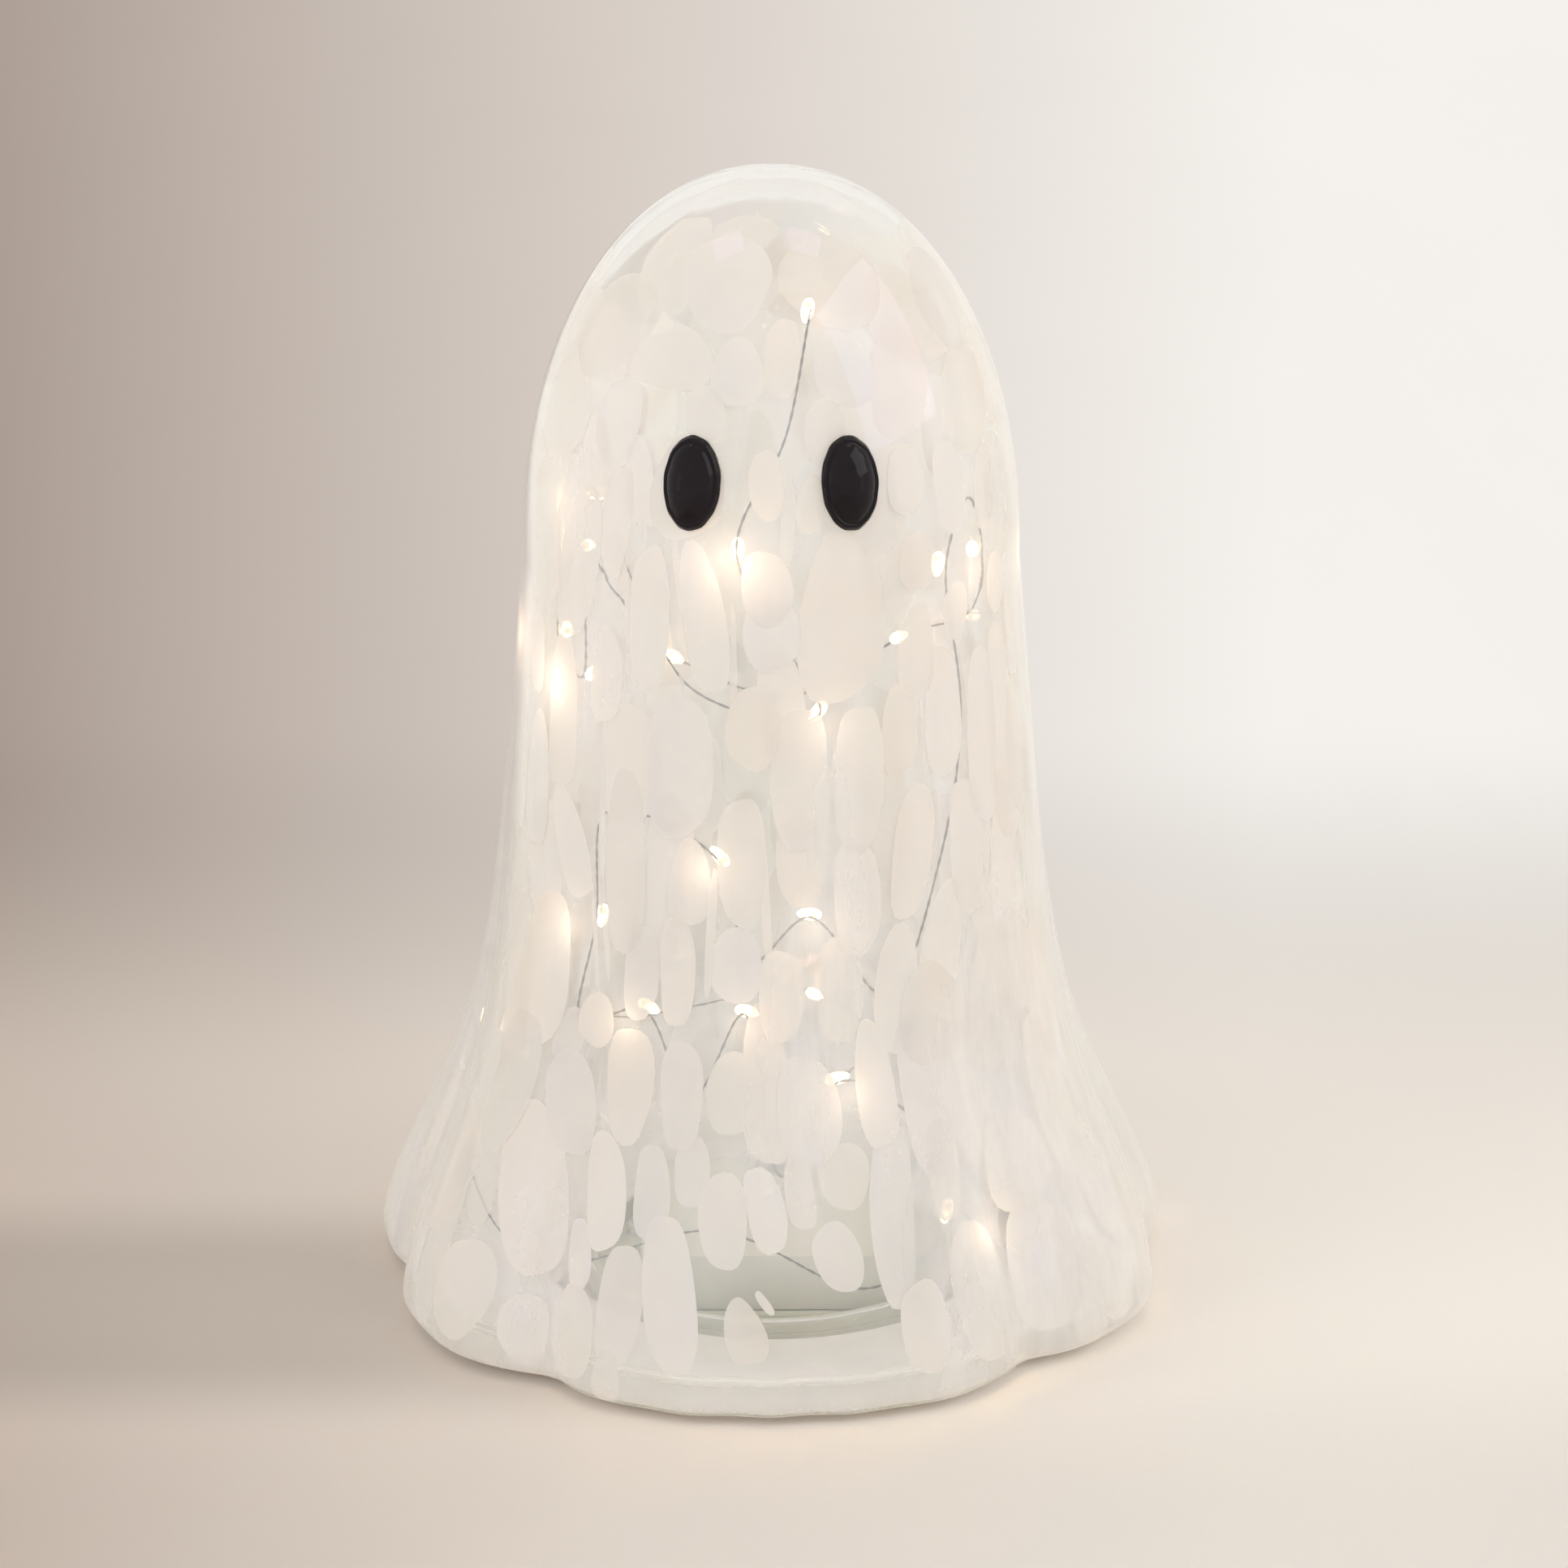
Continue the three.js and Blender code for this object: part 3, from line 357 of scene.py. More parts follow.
def within_half(angle):
    """Angles in degrees brought to within half a turn of 0."""
    return (angle + 180) % 360 - 180


def flare_share(glass, height):
    """Share of the flare at a height, 0 at the shoulder: a straight part plus a squared sine."""
    drop = (glass.shoulder_height - height) / (glass.shoulder_height - glass.hem_height)
    t = np.clip(drop, 0, 1)
    sweep = np.sin(0.5 * np.pi * t**glass.flare_power) ** 2
    return glass.flare_share * t + (1 - glass.flare_share) * sweep


def fold_offset(angle):
    """How far the hem stands out at an angle: between valleys, a line plus a power of a sine."""
    valley_angle, valley, crest, roundness, dip = FOLDS.T
    first = valley_angle[0]
    turned = first + (np.asarray(angle, float) - first) % 360
    k = np.searchsorted(valley_angle, turned + 1e-9, side="right") - 1
    after = (k + 1) % len(FOLDS)
    end = np.where(k + 1 < len(FOLDS), valley_angle[after], first + 360)
    t = np.clip((turned - valley_angle[k]) / (end - valley_angle[k]), 0, 1)
    arch = np.maximum(np.sin(np.pi * t), 0)
    rise = crest[k] - (valley[k] + valley[after]) / 2
    return MM * (mix(valley[k], valley[after], t) + rise * arch ** roundness[k] - dip[k] * arch**4)


def tube_radius(glass, height):
    """Radius of the flared tube at a height, without its folds."""
    return mix(glass.shoulder_radius, glass.hem_radius, flare_share(glass, height))


def dome_radius(glass, height, depth):
    """Radius of the dome's oval at a height and a depth in the wall."""
    rise = np.maximum(height - glass.shoulder_height, 0)
    share = rise / (glass.height - depth - glass.shoulder_height)
    reach = np.maximum(1 - share**glass.dome_roundness, 1e-6) ** (1 / glass.dome_roundness)
    return (glass.shoulder_radius - depth) * reach


def soft_fold(angle):
    """The fold averaged over six degrees, so that its valleys are rounded as blown glass is."""
    spread = np.linspace(-3, 3, 7)
    return np.mean([fold_offset(np.asarray(angle, float) + shift) for shift in spread], axis=0)


def fold_strength(glass, height):
    """Share of the folds at a height: a power of the distance below where they fade out."""
    t = np.clip((glass.fold_top - height) / (glass.fold_top - glass.hem_height), 0, 1)
    return t**glass.fold_power


def waves(angle, height):
    """Slow waves of a blown surface, from -1 to 0: four sines that run round and up it."""
    turn = np.radians(angle)
    total = (
        np.sin(5 * turn + 38 * height)
        + np.sin(11 * turn - 61 * height + 1.3)
        + np.sin(17 * turn + 23 * height + 0.7)
        + np.sin(3 * turn - 95 * height)
    )
    return 0.125 * total - 0.5


def flutes(angle):
    """Fine upright ridges between the folds, from -1 to 0: a cosine whose pitch wanders."""
    turn = np.radians(angle)
    return 0.5 * np.cos(21 * turn + 1.6 * np.sin(3 * turn) + np.sin(5 * turn)) - 0.5


def body_radius(glass, angle, height, depth):
    """Radius of the body at a depth in the wall: the flared tube, its folds, flutes and waves."""
    strength = fold_strength(glass, height)
    fine = glass.ripple * (waves(angle, height) + 3 * strength * flutes(angle))
    return tube_radius(glass, height) - depth + strength * soft_fold(angle) + fine


def wall_at(glass, height):
    """Thickness of the wall at a height, which grows from the dome to the hem with the flare."""
    return mix(glass.dome_wall, glass.hem_wall, flare_share(glass, height))


def dome_rows(glass, angle, depth, count):
    """Radius and height rows of the dome, from near its top to the shoulder: an oval of the form
    (radius / a)^n + (rise / b)^n = 1, with the folds' faint upper ends and the waves on it."""
    turn = np.linspace(0, np.pi / 2, count + 1)[1:, None]
    lift = np.maximum(np.cos(turn), 0) ** (2 / glass.dome_roundness)
    reach = np.sin(turn) ** (2 / glass.dome_roundness)
    height = glass.shoulder_height + (glass.height - depth - glass.shoulder_height) * lift
    height = np.broadcast_to(height, (count, len(angle)))
    fine = glass.ripple * waves(angle, height) * reach
    fold = fold_strength(glass, height) * soft_fold(angle)
    return (glass.shoulder_radius - depth) * reach + fold + fine, height


def body_rows(glass, angle, inside, lowest, count):
    """Radius and height rows of the body, from under the shoulder down to a height."""
    height = np.linspace(glass.shoulder_height, lowest, count + 1)[1:, None]
    height = np.broadcast_to(height, (count, len(angle)))
    depth = wall_at(glass, height) if inside else 0.0
    return body_radius(glass, angle, height, depth), height


def corner_rows(radius, start, level, inset, count):
    """Rows of a quarter round that turn a wall's end at a radius and height in to a flat level."""
    turn = np.linspace(0, np.pi / 2, count + 1)[1:, None]
    height = mix(start, level, np.sin(turn)) + 0 * radius
    return radius - inset * (1 - np.cos(turn)), height


def flat_rows(inner, outer, level, count):
    """Rows of a flat ring between two outlines at one height, the outlines themselves left out."""
    share = np.linspace(0, 1, count + 2)[1:-1, None]
    radius = mix(outer, inner, share)
    return radius, np.full_like(radius, level)


def shell_points(glass, columns):
    """The whole skin of the glass as rows of points: down the outside, in under the floor, up
    through the ground hole, out over the floor and up the inside. The second value is True for
    each row from which the next one is reached over ground glass."""
    angle = np.linspace(0, 360, columns, endpoint=False)
    floor_top = glass.underside + glass.floor
    wall_foot = floor_top + glass.inner_corner
    hole = np.full(columns, glass.hole_radius)
    bevel, ground_width = 0.0006, 0.008

    def ring(radius, height):
        """One round row at a height."""
        return radius[None], np.full((1, columns), height)

    def upwards(rows):
        """The same rows in the opposite order."""
        return tuple(part[::-1] for part in rows)

    # The last number in each of these calls is how many rows it makes.
    outer = body_rows(glass, angle, False, glass.hem_height, 84)
    hem = corner_rows(outer[0][-1], glass.hem_height, glass.underside, glass.hem_corner, 8)
    inner = body_rows(glass, angle, True, wall_foot, 64)
    foot = corner_rows(inner[0][-1], wall_foot, floor_top, glass.inner_corner, 6)
    rows = [
        dome_rows(glass, angle, 0.0, 36),
        outer,
        hem,
        flat_rows(hole + ground_width, hem[0][-1], glass.underside, 4),
        flat_rows(hole + bevel, hole + 2 * ground_width, glass.underside, 1),
        ring(hole + bevel, glass.underside),
        ring(hole, glass.underside + bevel),
        ring(hole, floor_top - bevel),
        ring(hole + bevel, floor_top),
        upwards(flat_rows(hole + bevel, foot[0][-1], floor_top, 4)),
        upwards(foot),
        upwards(inner),
        upwards(dome_rows(glass, angle, glass.dome_wall, 30)),
    ]
    radius, height = (np.concatenate(part) for part in zip(*rows))
    under_floor = 3
    ground = np.concatenate([np.full(len(row[0]), k == under_floor) for k, row in enumerate(rows)])
    ground[int(np.flatnonzero(ground)[0]) - 1] = True
    return polar(angle, radius, height), ground


def milk_share(glass, points):
    """Share of white at each point of the shell: a little all over, more where a patch of milk
    lies, and none in the floor round its hole. A patch is a bell in angle and height."""
    angle = angle_of(points)
    share = np.full(len(points), PLAIN_MILK)
    for centre, height, wide, tall, strength in MILK_PATCHES:
        across, up = within_half(angle - centre) / wide, (points[:, 2] / MM - height) / tall
        share += strength * np.exp(-(across**2) - up**2)
    clear_width, fade_width, most = 0.015, 0.014, 0.8
    out = np.hypot(points[:, 0], points[:, 1])
    low = points[:, 2] < glass.underside + glass.floor + 0.5 * glass.inner_corner
    cloudy = np.clip((out - glass.hole_radius - clear_width) / fade_width, 0, 1)
    return np.clip(share, 0, most) * np.where(low, cloudy, 1)


def halo_share(glass, points):
    """Strength of the painted glow round the lights at points of the wall: for each light a wide
    bell and a narrow one of the distance from the outer skin in front of it, wider the stronger the
    glow is."""
    lights = WIRE_ROUTE[WIRE_ROUTE[:, 3] > 0]
    middle = glass_axes(glass, lights[:, 0], lights[:, 1] * MM)[0]
    distance = np.linalg.norm(points[:, None] - middle, axis=-1) / MM
    wide = np.exp(-((distance / (7 + 5 * lights[:, 3])) ** 2))
    narrow = np.exp(-((distance / (2.5 + 2.5 * lights[:, 3])) ** 2))
    return (lights[:, 3] * (wide + 2.5 * narrow)).sum(axis=1)


def on_glass(glass, points, depth):
    """Points moved onto the surface at a depth in the wall. Below the shoulder they move straight
    out from the axis, less the quarter round at the hem, and above it along the line from the
    middle of the shoulder."""
    angle = angle_of(points)
    out = np.hypot(points[..., 0], points[..., 1])
    rise = points[..., 2] - glass.shoulder_height
    power = glass.dome_roundness
    across = glass.shoulder_radius - depth
    up = glass.height - glass.shoulder_height - depth
    scale = ((out / across) ** power + (np.maximum(rise, 0) / up) ** power) ** (-1 / power)
    on_dome = rise > 0
    height = np.where(on_dome, glass.shoulder_height + rise * scale, points[..., 2])
    extra = fold_strength(glass, height) * soft_fold(angle) + glass.ripple * waves(angle, height)
    turn_in = np.clip((glass.hem_height - height) / (glass.hem_height - glass.underside), 0, 1)
    rounding = glass.hem_corner * (1 - np.sqrt(1 - turn_in**2))
    below = body_radius(glass, angle, height, depth) - rounding
    radius = np.where(on_dome, out * scale + extra, below)
    return polar(angle, radius, height)


def glass_axes(glass, angle, height):
    """A point of the outer surface at each angle and height, and the directions round and up it."""
    turn = np.radians(angle)
    round_way = np.stack([np.cos(turn), np.sin(turn), 0 * turn], axis=-1)
    rise = np.maximum(height - glass.shoulder_height, 0)
    up = glass.height - glass.shoulder_height
    power = glass.dome_roundness - 1
    dome = dome_radius(glass, height, 0)
    step = 0.001
    above, below = (body_radius(glass, angle, height + way * step, 0) for way in (1, -1))
    slope = (above - below) / (2 * step)
    on_dome = rise > 0
    reach = dome / glass.shoulder_radius
    dome_slope = (rise / up) ** power / up * glass.shoulder_radius / reach**power
    level = np.where(on_dome, dome_slope, -slope)
    radius = np.where(on_dome, dome, body_radius(glass, angle, height, 0))
    normal = polar(angle, 1.0, level)
    normal /= np.linalg.norm(normal, axis=-1, keepdims=True)
    return polar(angle, radius, height), round_way, np.cross(normal, round_way)


# Meshes


def grid_faces(rows, columns):
    """Four-sided faces between rows of points that close on themselves."""
    row, column = np.mgrid[0 : rows - 1, 0:columns]
    after = (column + 1) % columns
    corners = (row, column), (row + 1, column), (row + 1, after), (row, after)
    return np.stack([(r * columns + c).ravel() for r, c in corners], axis=1)


def fan_faces(start, columns, tip):
    """Three-sided faces from a closed ring of points to one point."""
    column = np.arange(columns)
    return np.stack([start + column, start + (column + 1) % columns, np.full(columns, tip)], axis=1)


def make_mesh(name, points, faces, materials, face_material=None):
    """A smooth mesh object at the origin from an array of points and arrays of faces."""
    mesh = bpy.data.meshes.new(name)
    flat = [tuple(map(int, face)) for block in faces for face in block]
    mesh.from_pydata(np.asarray(points, float).reshape(-1, 3).tolist(), [], flat)
    for material in materials:
        mesh.materials.append(material)
    if face_material is not None:
        mesh.polygons.foreach_set("material_index", np.asarray(face_material, np.int32))
    mesh.polygons.foreach_set("use_smooth", np.ones(len(mesh.polygons), bool))
    mesh.update()
    obj = bpy.data.objects.new(name, mesh)
    bpy.context.scene.collection.objects.link(obj)
    return obj


def many_skins(rows, tips=None):
    """Points and faces of several closed skins of the same form, as one mesh. Each ends in a tip at
    both ends, which is the middle of its last ring unless it is given."""
    count, rings, sides = rows.shape[:3]
    if tips is None:
        tips = rows[:, [0, -1]].mean(axis=2)
    each = rings * sides + 2
    points = np.concatenate([rows.reshape(count, -1, 3), tips], axis=1)
    quads = grid_faces(rings, sides)
    top = fan_faces(0, sides, rings * sides)
    bottom = fan_faces((rings - 1) * sides, sides, rings * sides + 1)[:, ::-1]
    shift = (np.arange(count) * each)[:, None, None]
    faces = [(shift + part[None]).reshape(-1, part.shape[1]) for part in (quads, top, bottom)]
    return points, faces


def closed_skin(rows):
    """Points and faces of one skin of closed rows with its two ends drawn to a point each."""
    points, faces = many_skins(rows[None])
    return points[0], faces


def add_attributes(obj, **values):
    """Numbers for each point of a mesh, which its material reads by name."""
    for name, numbers in values.items():
        made = obj.data.attributes.new(name, "FLOAT", "POINT")
        made.data.foreach_set("value", np.asarray(numbers, np.float32))


def place(obj, slot, *nodes):
    """Lets a piece ride on the figurine and stand for CAD nodes; its slot is not used."""
    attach(obj, FIXED_BODY)
    if nodes:
        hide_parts(*nodes)
    return obj


def dress(material, *names):
    """Gives CAD nodes a finish."""
    for name in names:
        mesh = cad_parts[name].data
        mesh.materials.clear()
        mesh.materials.append(material)


# Materials


def cleared(owner, output="OutputMaterial"):
    """The node tree of a material or world, emptied but for its output node."""
    owner.use_nodes = True
    owner.node_tree.nodes.clear()
    owner.node_tree.nodes.new("ShaderNode" + output)
    return owner.node_tree


def shown(owner, shader):
    """Links a shader to the output node of a material or world, the first node of its tree."""
    tree = owner.node_tree
    output = tree.nodes[0]
    output.location = shader.node.location.x + 300, 0
    tree.links.new(shader, output.inputs["Surface"])
    return owner


def as_material(build):
    """Turns a function that gives a tree's shader into one that gives a material of its name."""

    @functools.wraps(build)
    def made(*sizes):
        material = bpy.data.materials.new(build.__name__)
        return shown(material, build(cleared(material), *sizes))

    return made


def node(tree, kind, out=0, settings=None, **inputs):
    """One output of a new node with its settings and its input values or links. An input goes by
    its name, or by i and its number. Nodes stand in columns in the order in which they are made."""
    made = tree.nodes.new("ShaderNode" + kind)
    column, row = divmod(len(tree.nodes), 5)
    made.location = 220 * column, -300 * row
    for key, value in (settings or {}).items():
        setattr(made, key, value)
    for key, value in inputs.items():
        socket = made.inputs[int(key[1:]) if key[1:].isdigit() else key.replace("_", " ")]
        if isinstance(value, bpy.types.NodeSocket):
            tree.links.new(value, socket)
        else:
            socket.default_value = value
    return made.outputs[out]


def attribute(tree, name):
    """A number that the mesh holds for each of its points."""
    return node(tree, "Attribute", "Fac", {"attribute_name": name})


def ramp(tree, factor, *stops):
    """A colour ramp over a factor, whose stops are pairs of a position and a colour."""
    made = node(tree, "ValToRGB", Fac=factor)
    elements = made.node.color_ramp.elements
    while len(elements) < len(stops):
        elements.new(0.5)
    for element, (position, colour) in zip(elements, stops):
        element.position = position
        element.color = (*colour, 1)
    return made


def noise(tree, scale, detail=3, stretch=(1, 1, 1)):
    """Noise on the object's own coordinates, stretched along its axes."""
    where = node(tree, "TexCoord", "Object")
    turned = node(tree, "Mapping", Vector=where, Scale=stretch)
    return node(tree, "TexNoise", Vector=turned, Scale=scale, Detail=detail, Roughness=0.55)


def remap(tree, value, low, high, start, end, step="LINEAR"):
    """A value between low and high as one between start and end."""
    settings = {"interpolation_type": step}
    return node(tree, "MapRange", 0, settings, i0=value, i1=low, i2=high, i3=start, i4=end)


def calculate(tree, operation, a, b=0.5, clamp=False):
    """One operation on two values, or on the first alone."""
    return node(tree, "Math", 0, {"operation": operation, "use_clamp": clamp}, i0=a, i1=b)


def product(tree, first, *others):
    """The product of two or more values."""
    for other in others:
        first = calculate(tree, "MULTIPLY", first, other)
    return first


def bump(tree, height, distance, strength=1.0):
    """A normal bent by a height."""
    return node(tree, "Bump", Height=height, Distance=distance, Strength=strength)


def mixed(tree, share, a, b):
    """A mix of two shaders."""
    return node(tree, "MixShader", Fac=share, i1=a, i2=b)


def seen_directly(tree):
    """1 for rays from the camera and those that a gloss or clear glass sends on, else 0."""
    path = node(tree, "LightPath").node.outputs
    seen = calculate(tree, "MAXIMUM", path["Is Camera Ray"], path["Is Glossy Ray"])
    return calculate(tree, "MAXIMUM", seen, path["Is Transmission Ray"])


def clear_for_lamps(tree, surface):
    """Lets light from the lamps and between matt surfaces pass a clear surface."""
    path = node(tree, "LightPath").node.outputs
    passes = calculate(tree, "MAXIMUM", path["Is Shadow Ray"], path["Is Diffuse Ray"])
    return mixed(tree, passes, surface, node(tree, "BsdfTransparent"))


def surface_of(tree, colour, rough, **inputs):
    """A surface with a colour, a roughness and more inputs."""
    return node(tree, "BsdfPrincipled", Base_Color=colour, Roughness=rough, **inputs)


def finish(name, dark, light, roughness, grain, stretch=(1, 1, 1), **shader):
    """A finish whose colour drifts between two tones, with uneven roughness and a fine grain."""
    material = bpy.data.materials.new(name)
    tree = cleared(material)
    drift = noise(tree, grain * 0.12, 4, stretch)
    rough = noise(tree, grain * 0.4, 3, stretch)
    fine = noise(tree, grain * 4, 2, stretch)
    surface = surface_of(
        tree, ramp(tree, drift, (0.3, dark), (0.7, light)), remap(tree, rough, 0, 1, *roughness),
        Normal=bump(tree, fine, 0.00003, 0.6), **shader,
    )
    return shown(material, surface)


def dress_all(finishes):
    """Gives each finish of a table to the CAD nodes that wear it."""
    for name, dark, light, rough, grain, inputs, *names in finishes:
        dress(finish(name, dark, light, rough, grain, **inputs), *names)


@as_material
def blown_glass(tree):
    """Clear glass with faint streaks along its height, milk in its mass, more of it at the rim, a
    breath of surface colour, and painted glow round the lights."""
    streak = noise(tree, 42, 5, (1, 1, 0.16))
    milk = product(tree, attribute(tree, "milk"), remap(tree, streak, 0.3, 0.7, 0.65, 1.35))
    clear = calculate(tree, "SUBTRACT", 1.0, milk, clamp=True)
    rim = remap(tree, node(tree, "LayerWeight", "Facing", Blend=0.5), 0.55, 1.0, 1.0, 0.45)
    surface = surface_of(
        tree, ramp(tree, streak, (0.35, (0.965, 0.985, 0.975)), (0.65, (1, 1, 1))),
        remap(tree, noise(tree, 60, 3, (1, 1, 0.3)), 0, 1, 0.0, 0.05),
        IOR=1.5, Transmission_Weight=product(tree, clear, rim),
        Normal=bump(tree, noise(tree, 70, 2, (1, 1, 0.25)), 0.0002, 0.35),
        # Emission here is painted glow round the lights.
        Thin_Film_Thickness=330.0, Thin_Film_IOR=1.38, Emission_Color=(*PAINTED_GLOW_COLOUR, 1),
        Emission_Strength=product(tree, attribute(tree, "halo"), PAINTED_GLOW_IN_WALL),
    )
    return clear_for_lamps(tree, surface)


@as_material
def ground_glass(tree):
    """Glass ground matt, which scatters light white: the underside and the edge of its hole."""
    cloud = noise(tree, 60, 4)
    return surface_of(
        tree, ramp(tree, cloud, (0.3, (0.88, 0.86, 0.82)), (0.7, (0.95, 0.94, 0.91))),
        remap(tree, cloud, 0, 1, 0.5, 0.7), IOR=1.5, Transmission_Weight=0.2,
        Normal=bump(tree, noise(tree, 900, 2), 0.00005),
    )


@as_material
def fused_white(tree, chips):
    """White opal glass that lets some light through, a little uneven from chip to chip, with
    painted glow round the lights.
    """
    cloud = calculate(tree, "ADD", attribute(tree, "tone"), noise(tree, 90, 4, (1, 1, 0.4)))
    plain = np.array(chips.colour)
    warm, cool = plain * (1.0, 0.985, 0.965), plain * (0.97, 0.975, 1.0)
    colour = ramp(tree, cloud, (0.25, warm), (0.6, plain), (0.85, cool))
    front = surface_of(
        tree, colour, 0.5, IOR=1.1, Normal=bump(tree, noise(tree, 500, 2), 0.00003, 0.4),
        # Emission here is painted glow round the lights.
        Emission_Color=(*PAINTED_GLOW_COLOUR, 1),
        Emission_Strength=product(tree, attribute(tree, "halo"), PAINTED_GLOW_IN_CHIPS),
    )
    both = mixed(tree, 0.5, front, node(tree, "BsdfTranslucent", Color=colour))
    return mixed(tree, attribute(tree, "cover"), node(tree, "BsdfTransparent"), both)


@as_material
def black_glass(tree, eyes):
    """Polished black glass with a faint wave in its surface."""
    dark = np.array(eyes.colour)
    return surface_of(
        tree, ramp(tree, noise(tree, 120, 3), (0.3, dark), (0.75, 2.2 * dark)),
        remap(tree, noise(tree, 260, 2), 0, 1, 0.04, 0.12), IOR=1.3,
        Normal=bump(tree, noise(tree, 110, 1), 0.0004, 0.35),
    )


@as_material
def clear_drop(tree):
    """Clear cast resin of a light's drop, a little warm."""
    drift = noise(tree, 400, 2)
    surface = surface_of(
        tree, ramp(tree, drift, (0.3, (1, 0.96, 0.88)), (0.7, (1, 1, 0.98))),
        remap(tree, drift, 0, 1, 0.03, 0.12), IOR=1.45, Transmission_Weight=1.0,
        Emission_Color=(1.0, 0.72, 0.32, 1), Emission_Strength=2.8,
    )
    return clear_for_lamps(tree, surface)


@as_material
def glowing_core(tree, string):
    """The lit heart of a light, of uneven strength."""
    power = remap(tree, noise(tree, 700, 1), 0, 1, 0.8 * string.power, 1.2 * string.power)
    return surface_of(
        tree, (1, 0.85, 0.5, 1), 0.5, Emission_Color=(*string.light, 1), Emission_Strength=power
    )


@as_material
def banded_sleeve(tree):
    """A cell's printed sleeve in plain bands along its length, over bright metal ends."""
    along = node(tree, "SeparateXYZ", "X", Vector=node(tree, "TexCoord", "Object"))
    steel, dark, copper = (0.62, 0.61, 0.58), (0.03, 0.045, 0.04), (0.42, 0.22, 0.1)
    share = remap(tree, along, -0.027, 0.027, 0, 1)
    colour = ramp(tree, share, (0.0, steel), (0.045, dark), (0.66, copper), (0.955, steel))
    colour.node.color_ramp.interpolation = "CONSTANT"
    rough = remap(tree, noise(tree, 200, 3), 0, 1, 0.22, 0.4)
    return surface_of(tree, colour, rough, Metallic=0.55)


@as_material
def solder_mask(tree):
    """A green circuit board with paler tracks under its lacquer."""
    tracks = node(
        tree, "TexVoronoi", "Distance", {"feature": "DISTANCE_TO_EDGE", "distance": "MANHATTAN"},
        Vector=node(tree, "TexCoord", "Object"), Scale=260,
    )
    return surface_of(
        tree, ramp(tree, tracks, (0.04, (0.05, 0.17, 0.07)), (0.09, (0.015, 0.075, 0.03))),
        remap(tree, noise(tree, 300, 2), 0, 1, 0.3, 0.5), Normal=bump(tree, tracks, 0.00004, 0.5),
    )


@as_material
def studio_floor(tree):
    """Pale seamless floor with painted light from the right, painted dusk to the left, a soft band
    of painted shade some way behind the object and a painted shadow of the object to its left. Far
    behind, it is shown as bright as its colour."""
    where = node(tree, "TexCoord", "Object")
    x, y, _ = node(tree, "SeparateXYZ", Vector=where).node.outputs

    def rise(value, low, high, start=0.0, end=1.0):
        """A smooth step of a value from low to high."""
        return remap(tree, value, low, high, start, end, "SMOOTHSTEP")

    def fall(value, low, high):
        """A smooth step down from low to high."""
        return rise(value, low, high, 1.0, 0.0)

    def blend(share, a, b):
        """A mix of a plain colour into another."""
        return node(tree, "Mix", 2, {"data_type": "RGBA"}, Factor=share, i6=(*a, 1), i7=b)

    def dimmed(colour, level):
        """A colour with its brightness changed."""
        return node(tree, "VectorMath", 0, {"operation": "SCALE"}, i0=colour, Scale=level)

    reach = calculate(tree, "MAXIMUM", calculate(tree, "ADD", y, 1.2), 0.3)
    side = calculate(tree, "DIVIDE", x, reach)
    across = remap(tree, side, -0.19, 0.11, 0, 1)
    aside = calculate(tree, "ABSOLUTE", side)
    field = product(tree, fall(aside, 0.2, 0.34), rise(y, -0.5, -0.22), fall(y, 3.0, 4.5))
    # Painted light from the right and painted dusk to the left, in the colours across the view.
    near = blend(field, FIELD_NEAR, ramp(tree, across, *NEAR_FLOOR))
    far = blend(field, WALL_COLOUR, ramp(tree, across, *FAR_FLOOR))
    wide = calculate(tree, "ABSOLUTE", x)
    # Painted shade in a soft band some way behind the object.
    rear = product(tree, rise(y, 0.13, 0.30), fall(y, 0.33, 0.5), fall(wide, 0.4, 0.7))
    # Painted shadow of the object, cast to its left.
    left = product(tree, fall(x, -0.12, 0.02), rise(x, -0.5, -0.3))
    beside = product(tree, rise(y, -0.105, -0.055), fall(y, 0.005, 0.06), left)
    shade = calculate(tree, "ADD", product(tree, rear, 0.085), product(tree, beside, 0.27))
    cloth = remap(tree, noise(tree, 9, 6, (1, 0.3, 1)), 0, 1, 0.98, 1.02)
    level = calculate(tree, "SUBTRACT", cloth, shade)
    # Painted light that brightens the near floor from a little in front of the object backwards, by
    # less further behind.
    brighter, darker = rise(y, -0.15, 0.0, 0.0, 0.16), rise(y, 0.08, 0.26, 0.0, 0.09)
    lifted = calculate(tree, "ADD", level, calculate(tree, "SUBTRACT", brighter, darker))
    matt = surface_of(tree, dimmed(near, lifted), 0.9, IOR=1.1)
    lit = node(tree, "Emission", Color=dimmed(far, level))
    away = node(tree, "VectorMath", "Value", {"operation": "LENGTH"}, i0=where)
    distant = calculate(tree, "MAXIMUM", rise(y, 0.12, 0.45), rise(away, 0.9, 1.8))
    return mixed(tree, product(tree, seen_directly(tree), distant), matt, lit)


# Light string


